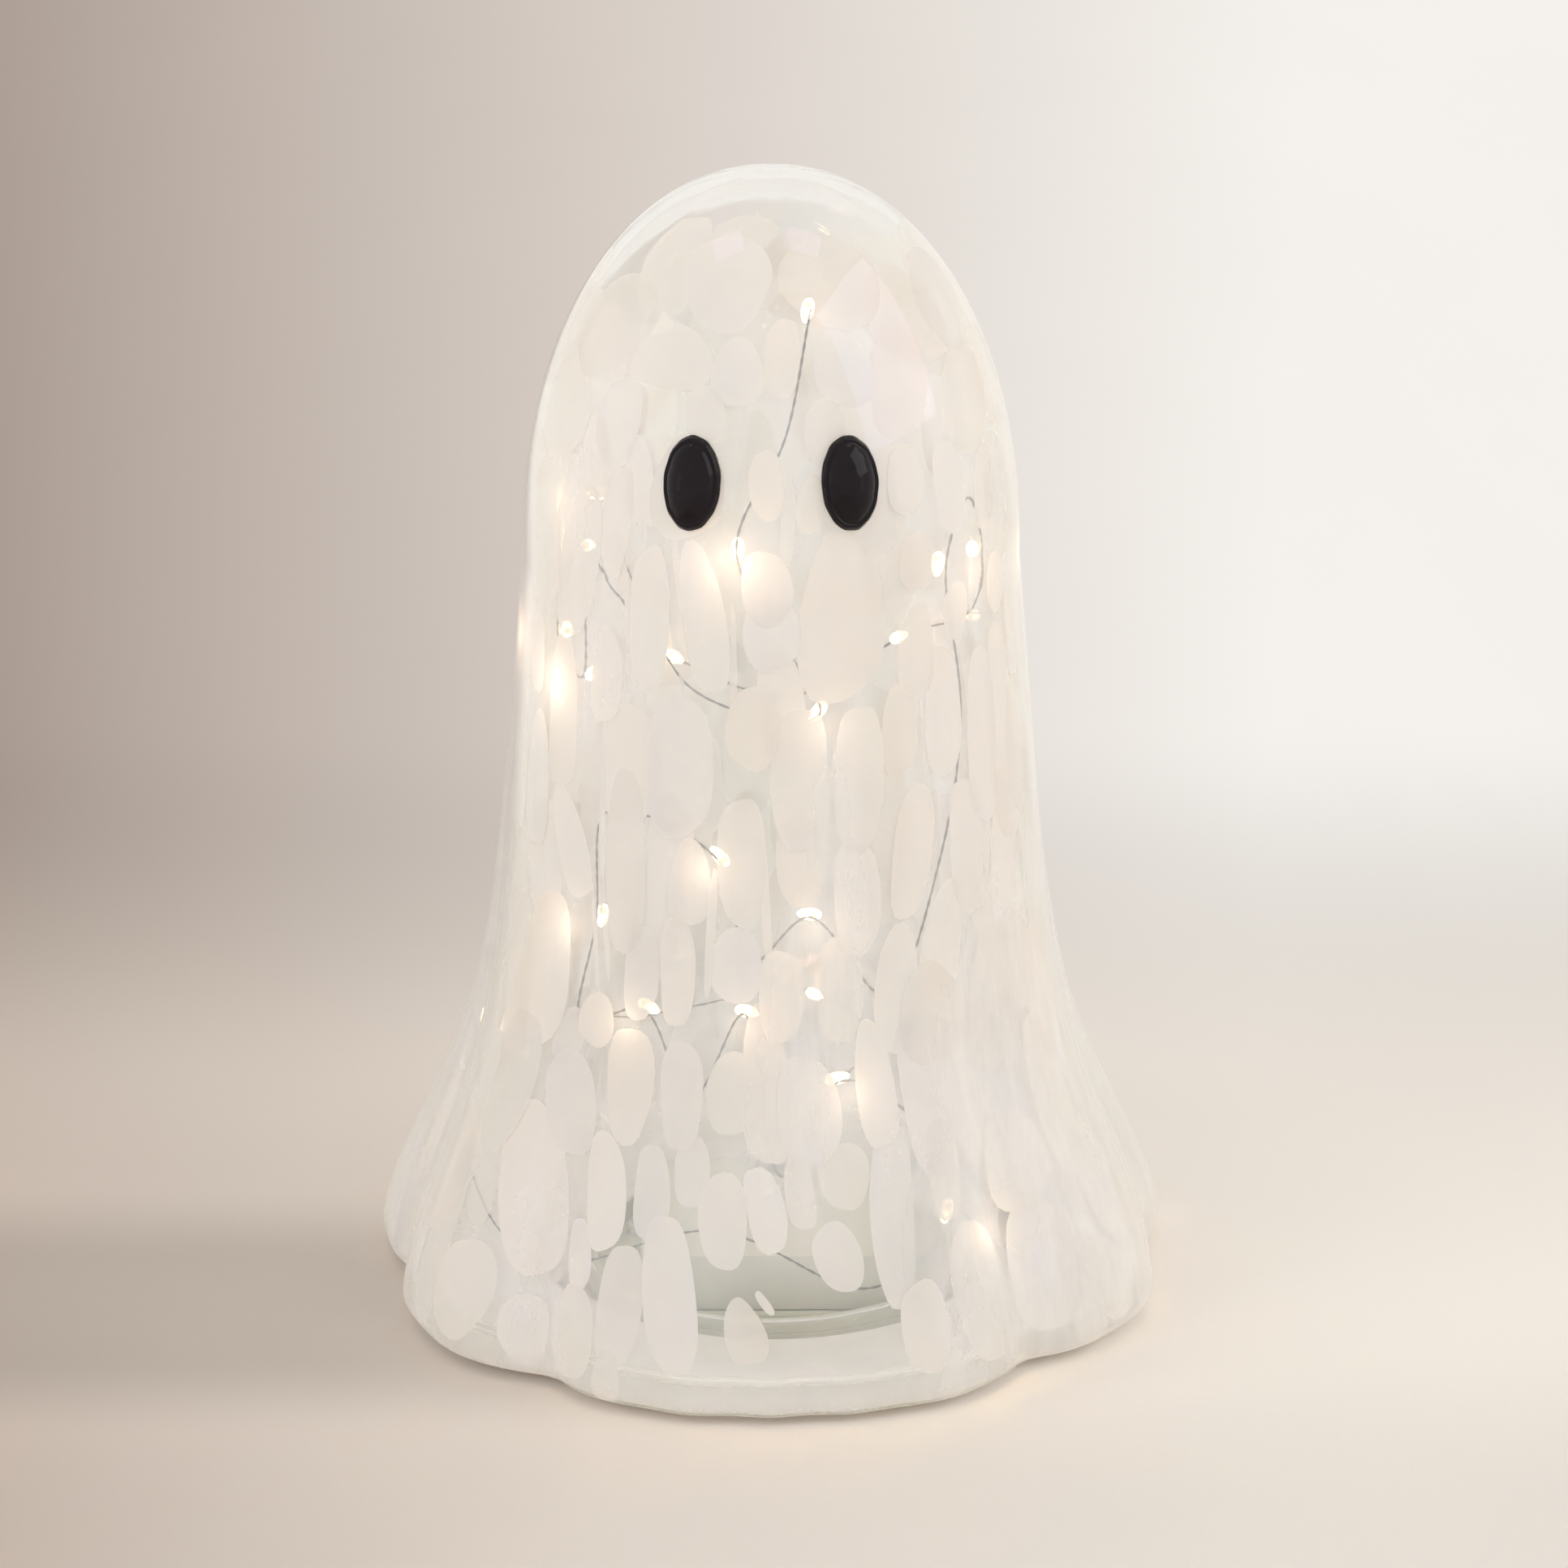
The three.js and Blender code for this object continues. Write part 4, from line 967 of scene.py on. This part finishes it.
def through_points(points, steps):
    """A smooth curve through points, as a cubic between each two whose speed at a point follows the
    square root of the distance to its neighbours. Returns the curve's points and its directions."""
    ends = np.concatenate([[2 * points[0] - points[1]], points, [2 * points[-1] - points[-2]]])
    before, here, there, after = ends[:-3], ends[1:-2], ends[2:-1], ends[3:]
    pairs = (before, here), (here, there), (there, after)
    p, q, r = (np.linalg.norm(b - a, axis=1)[:, None] ** 0.5 for a, b in pairs)
    leave = ((here - before) / p - (there - before) / (p + q) + (there - here) / q) * q
    reach = ((there - here) / q - (after - here) / (q + r) + (after - there) / r) * q
    t = np.linspace(0, 1, steps, endpoint=False)[None, :, None]
    a, b, m, n = (part[:, None, :] for part in (here, there, leave, reach))
    square, cube = 3 * (b - a) - 2 * m - n, 2 * (a - b) + m + n
    line = a + m * t + square * t**2 + cube * t**3
    along = m + 2 * square * t + 3 * cube * t**2
    line = np.concatenate([line.reshape(-1, 3), points[-1:]])
    along = np.concatenate([along.reshape(-1, 3), reach[-1:]])
    return line, along / np.linalg.norm(along, axis=1, keepdims=True)


def string_points(glass):
    """The string's points, from the board through the grommet and round inside the glass."""
    angle, height, gap, _ = WIRE_ROUTE.T
    height, gap = height * MM, gap * MM
    on_body = tube_radius(glass, height) - wall_at(glass, height)
    on_dome = dome_radius(glass, height, glass.dome_wall)
    plain = np.where(height > glass.shoulder_height, on_dome, on_body)
    radius = plain + fold_strength(glass, height) * fold_offset(angle) - gap
    low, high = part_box("wire_grommet")
    x, y = (low.x + high.x) / 2, (low.y + high.y) / 2
    above_board, above_grommet = 0.0003, 0.0009
    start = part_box("circuit_board")[1].z + above_board
    ends = np.array([(x, y, start), (x, y, high.z + above_grommet)])
    return np.concatenate([ends, polar(angle, radius, height)])


def tube_rows(line, first, second, radius, sides):
    """Rings of a round tube along a line, from two directions square to it."""
    turn = np.linspace(0, 2 * np.pi, sides, endpoint=False)[None, :, None]
    return line[:, None] + radius * (np.cos(turn) * first[:, None] + np.sin(turn) * second[:, None])


def square_to(along, towards):
    """Directions square to a line: what a direction has square to it, and the cross of the two."""
    first = towards - np.sum(towards * along, axis=1, keepdims=True) * along
    first /= np.linalg.norm(first, axis=1, keepdims=True)
    return first, np.cross(along, first)


def drop_rows(centre, along, across, side, width, length, rings, sides, taper):
    """Rings of drop shapes, one for each light: an oval whose width tapers towards one end."""
    tip = 0.06
    rise = np.linspace(tip, np.pi - tip, rings)[None, :, None, None]
    turn = np.linspace(0, 2 * np.pi, sides, endpoint=False)[None, None, :, None]
    spread = 0.5 * width * np.sin(rise) * (1 + taper * np.cos(rise))
    lie = 0.5 * length * np.cos(rise)
    centre, along, across, side = (part[:, None, None, :] for part in (centre, along, across, side))
    return centre + lie * along + spread * (np.cos(turn) * across + np.sin(turn) * side)


# Chips in the wall


def window_free(angle, height, width, length, radius):
    """True where a chip covers neither the clear window nor a place kept free before a light."""
    low, high, foot, top = CLEAR_WINDOW
    turned = within_half(angle)
    outside = ~((turned > low) & (turned < high) & (height > foot) & (height < top))
    free_angle, free_height, free_radius = SIGHT_GAPS.T
    gap = np.radians(within_half(turned[:, None] - free_angle)) * radius[:, None]
    across = gap / (0.5 * width[:, None] + free_radius)
    up = (height[:, None] - free_height) / (0.5 * length[:, None] + free_radius)
    return outside & (np.hypot(across, up).min(axis=1) > 1)


def apart(taken, angle, height, width, length, radius):
    """How far each kept chip's middle is from a new one's, as a share of their sizes added up."""
    gap = within_half(taken[:, 0] - angle)
    across = np.radians(gap) * radius / (0.5 * (taken[:, 2] + width))
    up = (taken[:, 1] - height) / (0.5 * (taken[:, 3] + length))
    return np.hypot(across, up)


def above_hem(glass, height, length):
    """Heights of chips' middles, raised where a chip of that length would reach below the hem."""
    clearance = 0.4
    return np.maximum(height, glass.underside / MM + 0.5 * length + clearance)


def free_layer(taken, near):
    """The lowest of five layers that the fewest of the chips near by lie in."""
    return int(np.argmin(np.bincount(taken[near, 5].astype(int), minlength=5)))


def in_layers(glass, places):
    """Listed chips with a layer added to each, so that chips that overlap lie in turn."""
    taken = np.zeros((0, 6))
    for chip in places:
        near = apart(taken, *chip[:4], glass.shoulder_radius / MM) < NEAR_BY
        taken = np.vstack([taken, (*chip, free_layer(taken, near))])
    return taken


def scatter(glass, chips, rng, taken, widths, lengths, lowest, highest, closeness, in_front):
    """Adds chips at random places: each try is kept if its middle is no nearer to a kept chip's
    middle than a share of their two sizes, in distances measured on the glass. On the dome chips
    grow wider and shorter, and a lean is a few degrees either way."""
    tries, usual_lean, growing_height = chips.tries, 7, 0.06
    angle = rng.uniform(-180, 180, tries)
    height = rng.uniform(lowest, highest, tries)
    width, length = rng.uniform(*widths, tries), rng.uniform(*lengths, tries)
    lean = rng.normal(0, usual_lean, tries)
    on_dome = np.clip((height * MM - glass.shoulder_height) / growing_height, 0, 1)
    width, length = width * mix(1, 1.6, on_dome), length * mix(1, 0.8, on_dome)
    height = above_hem(glass, height, length)
    radius = np.linalg.norm(glass_axes(glass, angle, height * MM)[0][:, :2], axis=1) / MM
    keep = rng.uniform(0, 1, tries) < radius / radius.max()
    keep &= window_free(angle, height, width, length, radius)
    keep &= in_front | (np.abs(angle) > FRONT_HALF_ANGLE)
    tried = np.stack([angle, height, width, length], axis=1)
    for k in np.flatnonzero(keep):
        distance = apart(taken, *tried[k], radius[k])
        if distance.min() > closeness:
            layer = free_layer(taken, distance < NEAR_BY)
            taken = np.vstack([taken, (*tried[k], lean[k], layer)])
    return taken


def chip_rows(glass, chips, rng, places, sides, steps):
    """Rings and tips of flat lenses that follow the glass, one for each chip: an uneven oval, with
    fuller sides the longer it is, drawn in to the middle in steps on both faces, which stand apart
    by the square root of 1 - share^4."""
    angle, height, width, length, lean, layer = places.T
    height = above_hem(glass, height, length)
    middle, round_way, up_way = glass_axes(glass, angle, height * MM)
    turn = np.radians(lean)[:, None]
    long_way = up_way * np.cos(turn) + round_way * np.sin(turn)
    short_way = round_way * np.cos(turn) - up_way * np.sin(turn)
    t = np.linspace(0, 2 * np.pi, sides, endpoint=False)[None, :]
    count = len(places)
    two, three, five = rng.uniform(0, 2 * np.pi, (3, count, 1))
    uneven = 1 + 0.05 * np.cos(2 * t + two) + 0.035 * np.cos(3 * t + three)
    uneven = uneven + 0.015 * np.cos(5 * t + five)
    taper = rng.uniform(-0.22, 0.1, (count, 1))
    fullness = mix(1, 0.72, np.clip(length / width - 1.2, 0, 1))[:, None]
    cosine, sine = np.cos(t), np.sin(t)
    x = 0.5 * MM * width[:, None] * np.sign(cosine) * np.abs(cosine) ** fullness
    x = x * (1 + taper * sine) * uneven
    y = 0.5 * MM * length[:, None] * np.sign(sine) * np.abs(sine) ** mix(1, fullness, 0.5) * uneven
    half = np.linspace(0, 1, steps + 1)[1:]
    inward = np.concatenate([half, half[-2::-1]])[None, :, None]
    side = np.repeat([-1, 0, 1], [steps - 1, 1, steps - 1])[None, :, None]
    middle_depth = (chips.depth + chips.layer * layer)[:, None, None]
    depth = middle_depth + side * chips.crown * np.sqrt(1 - inward**4)
    flat = (
        middle[:, None, None]
        + (inward * x[:, None])[..., None] * short_way[:, None, None]
        + (inward * y[:, None])[..., None] * long_way[:, None, None]
    )
    tip_depth = middle_depth[:, :, 0] + chips.crown * np.array([[-1, 1]])
    tips = on_glass(glass, np.stack([middle, middle], axis=1), tip_depth)
    return on_glass(glass, flat, np.broadcast_to(depth, flat.shape[:-1])), tips


# Operators, one for each piece or group of like pieces


class GHOST_OT_studio(bpy.types.Operator):
    """Make the camera, the soft lamps, the world's light and the pale floor."""

    bl_idname = "ghost.studio"
    bl_label = "Studio"

    def execute(self, context):
        look = context.scene.ghost_studio
        camera = bpy.data.objects.new("camera", bpy.data.cameras.new("camera"))
        context.scene.collection.objects.link(camera)
        camera.location = look.camera_place
        aim = Vector(look.camera_aim) - Vector(look.camera_place)
        camera.rotation_euler = aim.to_track_quat("-Z", "Y").to_euler()
        camera.data.lens, camera.data.sensor_width = look.lens, 36
        camera.data.shift_x, camera.data.clip_end = look.shift, 100
        context.scene.camera = camera
        context.scene.view_settings.view_transform = "Standard"
        for name, power, *rest in LAMPS:
            self.make_lamp(name, getattr(look, power), *rest)
        self.make_world(context, look)
        self.make_floor(look)
        return {"FINISHED"}

    def make_lamp(self, name, power, at, size, matt, gloss):
        """A square soft lamp that looks at the object. Matt or glossy surfaces or both see it."""
        lamp = bpy.data.lights.new(name, "AREA")
        lamp.size, lamp.energy, lamp.color = size, power, LAMP_COLOUR
        obj = bpy.data.objects.new(name, lamp)
        obj.location = at
        obj.rotation_euler = (Vector(LAMP_AIM) - obj.location).to_track_quat("-Z", "Y").to_euler()
        obj.visible_camera = False
        obj.visible_diffuse = obj.visible_transmission = matt
        obj.visible_glossy = gloss
        bpy.context.scene.collection.objects.link(obj)

    def make_world(self, context, look):
        """Even light from all round, seen as a pale wall by the camera and in glass and metal."""
        world = bpy.data.worlds.new("studio")
        tree = cleared(world, "OutputWorld")
        lit = node(tree, "Background", Color=(*WORLD_COLOUR, 1), Strength=look.world_light)
        wall = node(tree, "Background", Color=(*WALL_COLOUR, 1), Strength=1.0)
        context.scene.world = shown(world, mixed(tree, seen_directly(tree), lit, wall))

    def make_floor(self, look):
        """A round floor in rings that grow towards its edge."""
        rings, sides = 32, 64
        radius = look.floor_radius * np.linspace(0.01, 1, rings) ** 2
        rows = polar(np.linspace(0, 360, sides, endpoint=False)[None], radius[:, None], 0.0)
        points = np.concatenate([rows.reshape(-1, 3), [(0, 0, 0)]])
        faces = [grid_faces(rings, sides), fan_faces(0, sides, rings * sides)]
        floor = make_mesh("floor", points, faces, [studio_floor()])


class GHOST_OT_light_string(bpy.types.Operator):
    """Make the twisted silver wire, darkened with painted shade, and the drops with their lit cores.
    """

    bl_idname = "ghost.light_string"
    bl_label = "Light string"

    def execute(self, context):
        glass, string = context.scene.ghost_glass, context.scene.ghost_string
        points, steps = string_points(glass), 28
        drops = self.make_drops(points, string)
        self.make_wire(*through_points(points, steps), string, drops)
        return {"FINISHED"}

    def make_wire(self, line, along, string, drops):
        """Two strands that wind round the route, each half of the pair's width. Their turn starts
        from the direction to a point that the route doesn't pass."""
        off_route = (0.03, 0.04, 0.14)
        run = np.concatenate([[0], np.cumsum(np.linalg.norm(np.diff(line, axis=0), axis=1))])
        first, second = square_to(along, np.array(off_route) - line)
        turn = (2 * np.pi * run / string.twist)[:, None]
        out = np.cos(turn) * first + np.sin(turn) * second
        side = np.cross(along, out)
        # Dark tones are painted shade: the silver wire drawn as dark as the dim inside of the glass
        # it reflects.
        dark, light = (0.09, 0.08, 0.06), (0.27, 0.25, 0.205)
        silver = finish("silvered_wire", dark, light, (0.25, 0.45), 900, Metallic=0.7)
        offset, radius, sides = 0.25 * string.wire, 0.24 * string.wire, 6
        strands = [
            tube_rows(line + sign * offset * out, out, side, radius, sides)[:, ::-1]
            for sign in (-1, 1)
        ]
        points, faces = many_skins(np.stack(strands))
        wire = make_mesh("light_string_wire", points, faces, [silver])
        place(wire, "wire_silver", "light_string")

    def make_drops(self, points, string):
        """Clear drops beside the wire on the side away from the glass, each round a lit core and a
        yellow die. A shape is its shift along the wire, width, length, rings, sides and taper."""
        marked = np.flatnonzero(WIRE_ROUTE[:, 3] > 0) + len(points) - len(WIRE_ROUTE)
        _, along = through_points(points, 1)
        at, along = points[marked], along[marked]
        across, side = square_to(along, -at * (1, 1, 0))
        centre = at + across * (0.5 * (string.light_width + string.wire) + string.light_gap)
        core = glowing_core(string)
        core.cycles.emission_sampling = "FRONT"
        die = finish("yellow_die", (0.75, 0.42, 0.03), (0.95, 0.62, 0.08), (0.3, 0.5), 800)
        shapes = (
            (0.0, string.light_width, string.light_length, 9, 12, 0.18),
            (-0.0005, 0.0014, 0.0022, 6, 8, 0.0),
            (0.0013, 0.0013, 0.0016, 5, 6, 0.0),
        )
        points, faces, which = np.zeros((0, 3)), [], []
        for material, (shift, *shape) in enumerate(shapes):
            some, parts = many_skins(drop_rows(centre + shift * along, along, across, side, *shape))
            faces += [part + len(points) for part in parts]
            which += [material] * sum(map(len, parts))
            points = np.concatenate([points, some.reshape(-1, 3)])
        drops = make_mesh("light_drops", points, faces, [clear_drop(), core, die], which)
        return place(drops, "light_drop", *LIGHT_NODES)


class GHOST_OT_glass_body(bpy.types.Operator):
    """Make the blown shell with its dome, folded hem, floor and inner wall."""

    bl_idname = "ghost.glass_body"
    bl_label = "Glass body"

    def execute(self, context):
        glass = context.scene.ghost_glass
        rows, ground = shell_points(glass, SHELL_COLUMNS)
        points, faces = closed_skin(rows)
        tips = np.zeros(2 * SHELL_COLUMNS, bool)
        finish_of = np.concatenate([np.repeat(ground[:-1], SHELL_COLUMNS), tips])
        shell = make_mesh("blown_shell", points, faces, [blown_glass(), ground_glass()], finish_of)
        # Milk in the glass, and the strength of the painted glow round the lights.
        add_attributes(shell, milk=milk_share(glass, points), halo=halo_share(glass, points))
        place(shell, "glass_clear", "glass_body")
        return {"FINISHED"}


class GHOST_OT_glass_chips(bpy.types.Operator):
    """Make the white chips fused in the wall: those listed, then the scattered ones."""

    bl_idname = "ghost.glass_chips"
    bl_label = "White chips"

    def execute(self, context):
        glass, chips = context.scene.ghost_glass, context.scene.ghost_chips
        rng = np.random.default_rng(chips.seed)
        white = fused_white(chips)
        taken = in_layers(glass, PLACED_CHIPS)
        ends = [len(taken)]
        for kind in SCATTERED_CHIPS:
            taken = scatter(glass, chips, rng, taken, *kind)
            ends.append(len(taken))
        placed, broad, *small = np.split(taken, ends[:-1])
        fine, coarse = {"sides": 24, "steps": 4}, {"sides": 14, "steps": 3}
        thin = np.where(placed[:, 1] > THIN_ABOVE, THIN_SHARE, 1)
        cover = rng.uniform(*PLACED_COVER, len(placed)) * thin
        self.make_chips(glass, chips, rng, "placed_chips", placed, fine, cover, white)
        for name, some, grid in (
            ("broad_chips", broad, fine), ("small_chips", np.concatenate(small), coarse)
        ):
            front, back = (rng.uniform(*span, len(some)) for span in (FRONT_COVER, BACK_COVER))
            cover = np.where(np.abs(within_half(some[:, 0])) < FRONT_HALF_ANGLE, front, back)
            self.make_chips(glass, chips, rng, name, some, grid, cover, white)
        return {"FINISHED"}

    def make_chips(self, glass, chips, rng, name, places, grid, cover, white):
        """One mesh of chips, each with its own tone and cover."""
        points, faces = many_skins(*chip_rows(glass, chips, rng, places, **grid))
        obj = make_mesh(name, points, faces, [white])
        obj.data.set_sharp_from_angle(angle=np.radians(100))
        tone = rng.uniform(-0.25, 0.25, len(places))
        tone, cover = (np.repeat(values, points.shape[1]) for values in (tone, cover))
        # Each chip's tone and cover, and the strength of the painted glow round the lights.
        add_attributes(obj, tone=tone, cover=cover, halo=halo_share(glass, points.reshape(-1, 3)))
        place(obj, "glass_clear")


class GHOST_OT_eyes(bpy.types.Operator):
    """Make the two black glass eyes, domed inside a low rim, with backs that follow the glass."""

    bl_idname = "ghost.eyes"
    bl_label = "Eyes"

    def execute(self, context):
        glass, eyes = context.scene.ghost_glass, context.scene.ghost_eyes
        material = black_glass(eyes)
        for name, side in (("eye_left", -1), ("eye_right", 1)):
            points, faces = closed_skin(self.rows(glass, eyes, side))
            stone = make_mesh(name + "_stone", points, faces, [material])
            place(stone, "eye_glass", name)
        return {"FINISHED"}

    def rows(self, glass, eyes, side):
        """Rings from the middle of the dome out over the rim and back in along the glass."""
        angle = np.array([side * np.degrees(eyes.angle)])
        middle, round_way, up_way = glass_axes(glass, angle, np.array([eyes.height]))
        out = np.cross(round_way, up_way)
        sides = 72
        t = np.linspace(0, 2 * np.pi, sides, endpoint=False)
        uneven = 1 + 0.006 * np.sin(9 * t + side) + 0.005 * np.sin(14 * t + 2 * side)
        uneven += 0.006 * np.cos(3 * t)
        edge = [0.84, 0.87, 0.9, 0.94, 0.97, 0.99, 1.0]
        share = np.concatenate([np.linspace(0.03, 0.8, 16), edge])
        dome = 0.86 * (1 - (share / 1.04) ** 2.6)
        rim = 0.14 * np.exp(-(((share - 0.92) / 0.045) ** 2))
        groove = 0.05 * np.exp(-(((share - 0.84) / 0.025) ** 2))
        stand = eyes.bulge * np.maximum(dome + (rim - groove), 0.06)
        x = 0.5 * eyes.width * np.cos(t) * uneven * share[:, None]
        y = 0.5 * eyes.length * np.sin(t) * uneven * share[:, None]
        flat = middle + x[..., None] * round_way + y[..., None] * up_way
        glue = 0.0003
        back = on_glass(glass, flat, -glue)
        return np.concatenate([back + stand[:, None, None] * out, back[::-1]])


class GHOST_OT_base(bpy.types.Operator):
    """Finish the base: housing, case, door, seal, feet, screws, switch, grommet, black plastic."""

    bl_idname = "ghost.base"
    bl_label = "Base"

    def execute(self, context):
        dress_all(BASE_FINISHES)
        return {"FINISHED"}


class GHOST_OT_battery_parts(bpy.types.Operator):
    """Finish what is in the battery case: cells, springs, contacts, board and leads."""

    bl_idname = "ghost.battery_parts"
    bl_label = "Battery parts"

    def execute(self, context):
        dress(banded_sleeve(), "battery_1", "battery_2", "battery_3")
        dress(solder_mask(), "circuit_board")
        dress_all(BATTERY_FINISHES)
        return {"FINISHED"}


class GHOST_PT_panel(bpy.types.Panel):
    """Lists the ghost's pieces and their sizes."""

    bl_label = "Glass Ghost"
    bl_idname = "GHOST_PT_panel"
    bl_space_type = "VIEW_3D"
    bl_region_type = "UI"
    bl_category = "Glass Ghost"

    def draw(self, context):
        for operator in OPERATORS:
            self.layout.operator(operator.bl_idname)
        for name, group in GROUPS.items():
            box = self.layout.box()
            for key in group.__annotations__:
                box.prop(getattr(context.scene, name), key)


GROUPS = {
    "ghost_glass": GlassSizes,
    "ghost_chips": ChipSizes,
    "ghost_eyes": EyeSizes,
    "ghost_string": StringSizes,
    "ghost_studio": StudioLook,
}
OPERATORS = (
    GHOST_OT_studio,
    GHOST_OT_light_string,
    GHOST_OT_glass_body,
    GHOST_OT_glass_chips,
    GHOST_OT_eyes,
    GHOST_OT_base,
    GHOST_OT_battery_parts,
)


def register():
    """Registers the classes and hangs the sizes on the scene."""
    for group in (*GROUPS.values(), *OPERATORS, GHOST_PT_panel):
        bpy.utils.register_class(group)
    for name, group in GROUPS.items():
        setattr(bpy.types.Scene, name, bpy.props.PointerProperty(type=group))


def unregister():
    """Takes the sizes off the scene and removes the classes."""
    for name in GROUPS:
        delattr(bpy.types.Scene, name)
    for group in (GHOST_PT_panel, *reversed(OPERATORS), *reversed(list(GROUPS.values()))):
        bpy.utils.unregister_class(group)


def main():
    """Builds every piece."""
    register()
    bpy.ops.ghost.studio()
    bpy.ops.ghost.light_string()
    bpy.ops.ghost.glass_body()
    bpy.ops.ghost.glass_chips()
    bpy.ops.ghost.eyes()
    bpy.ops.ghost.base()
    bpy.ops.ghost.battery_parts()


if __name__ == "__main__":
    main()
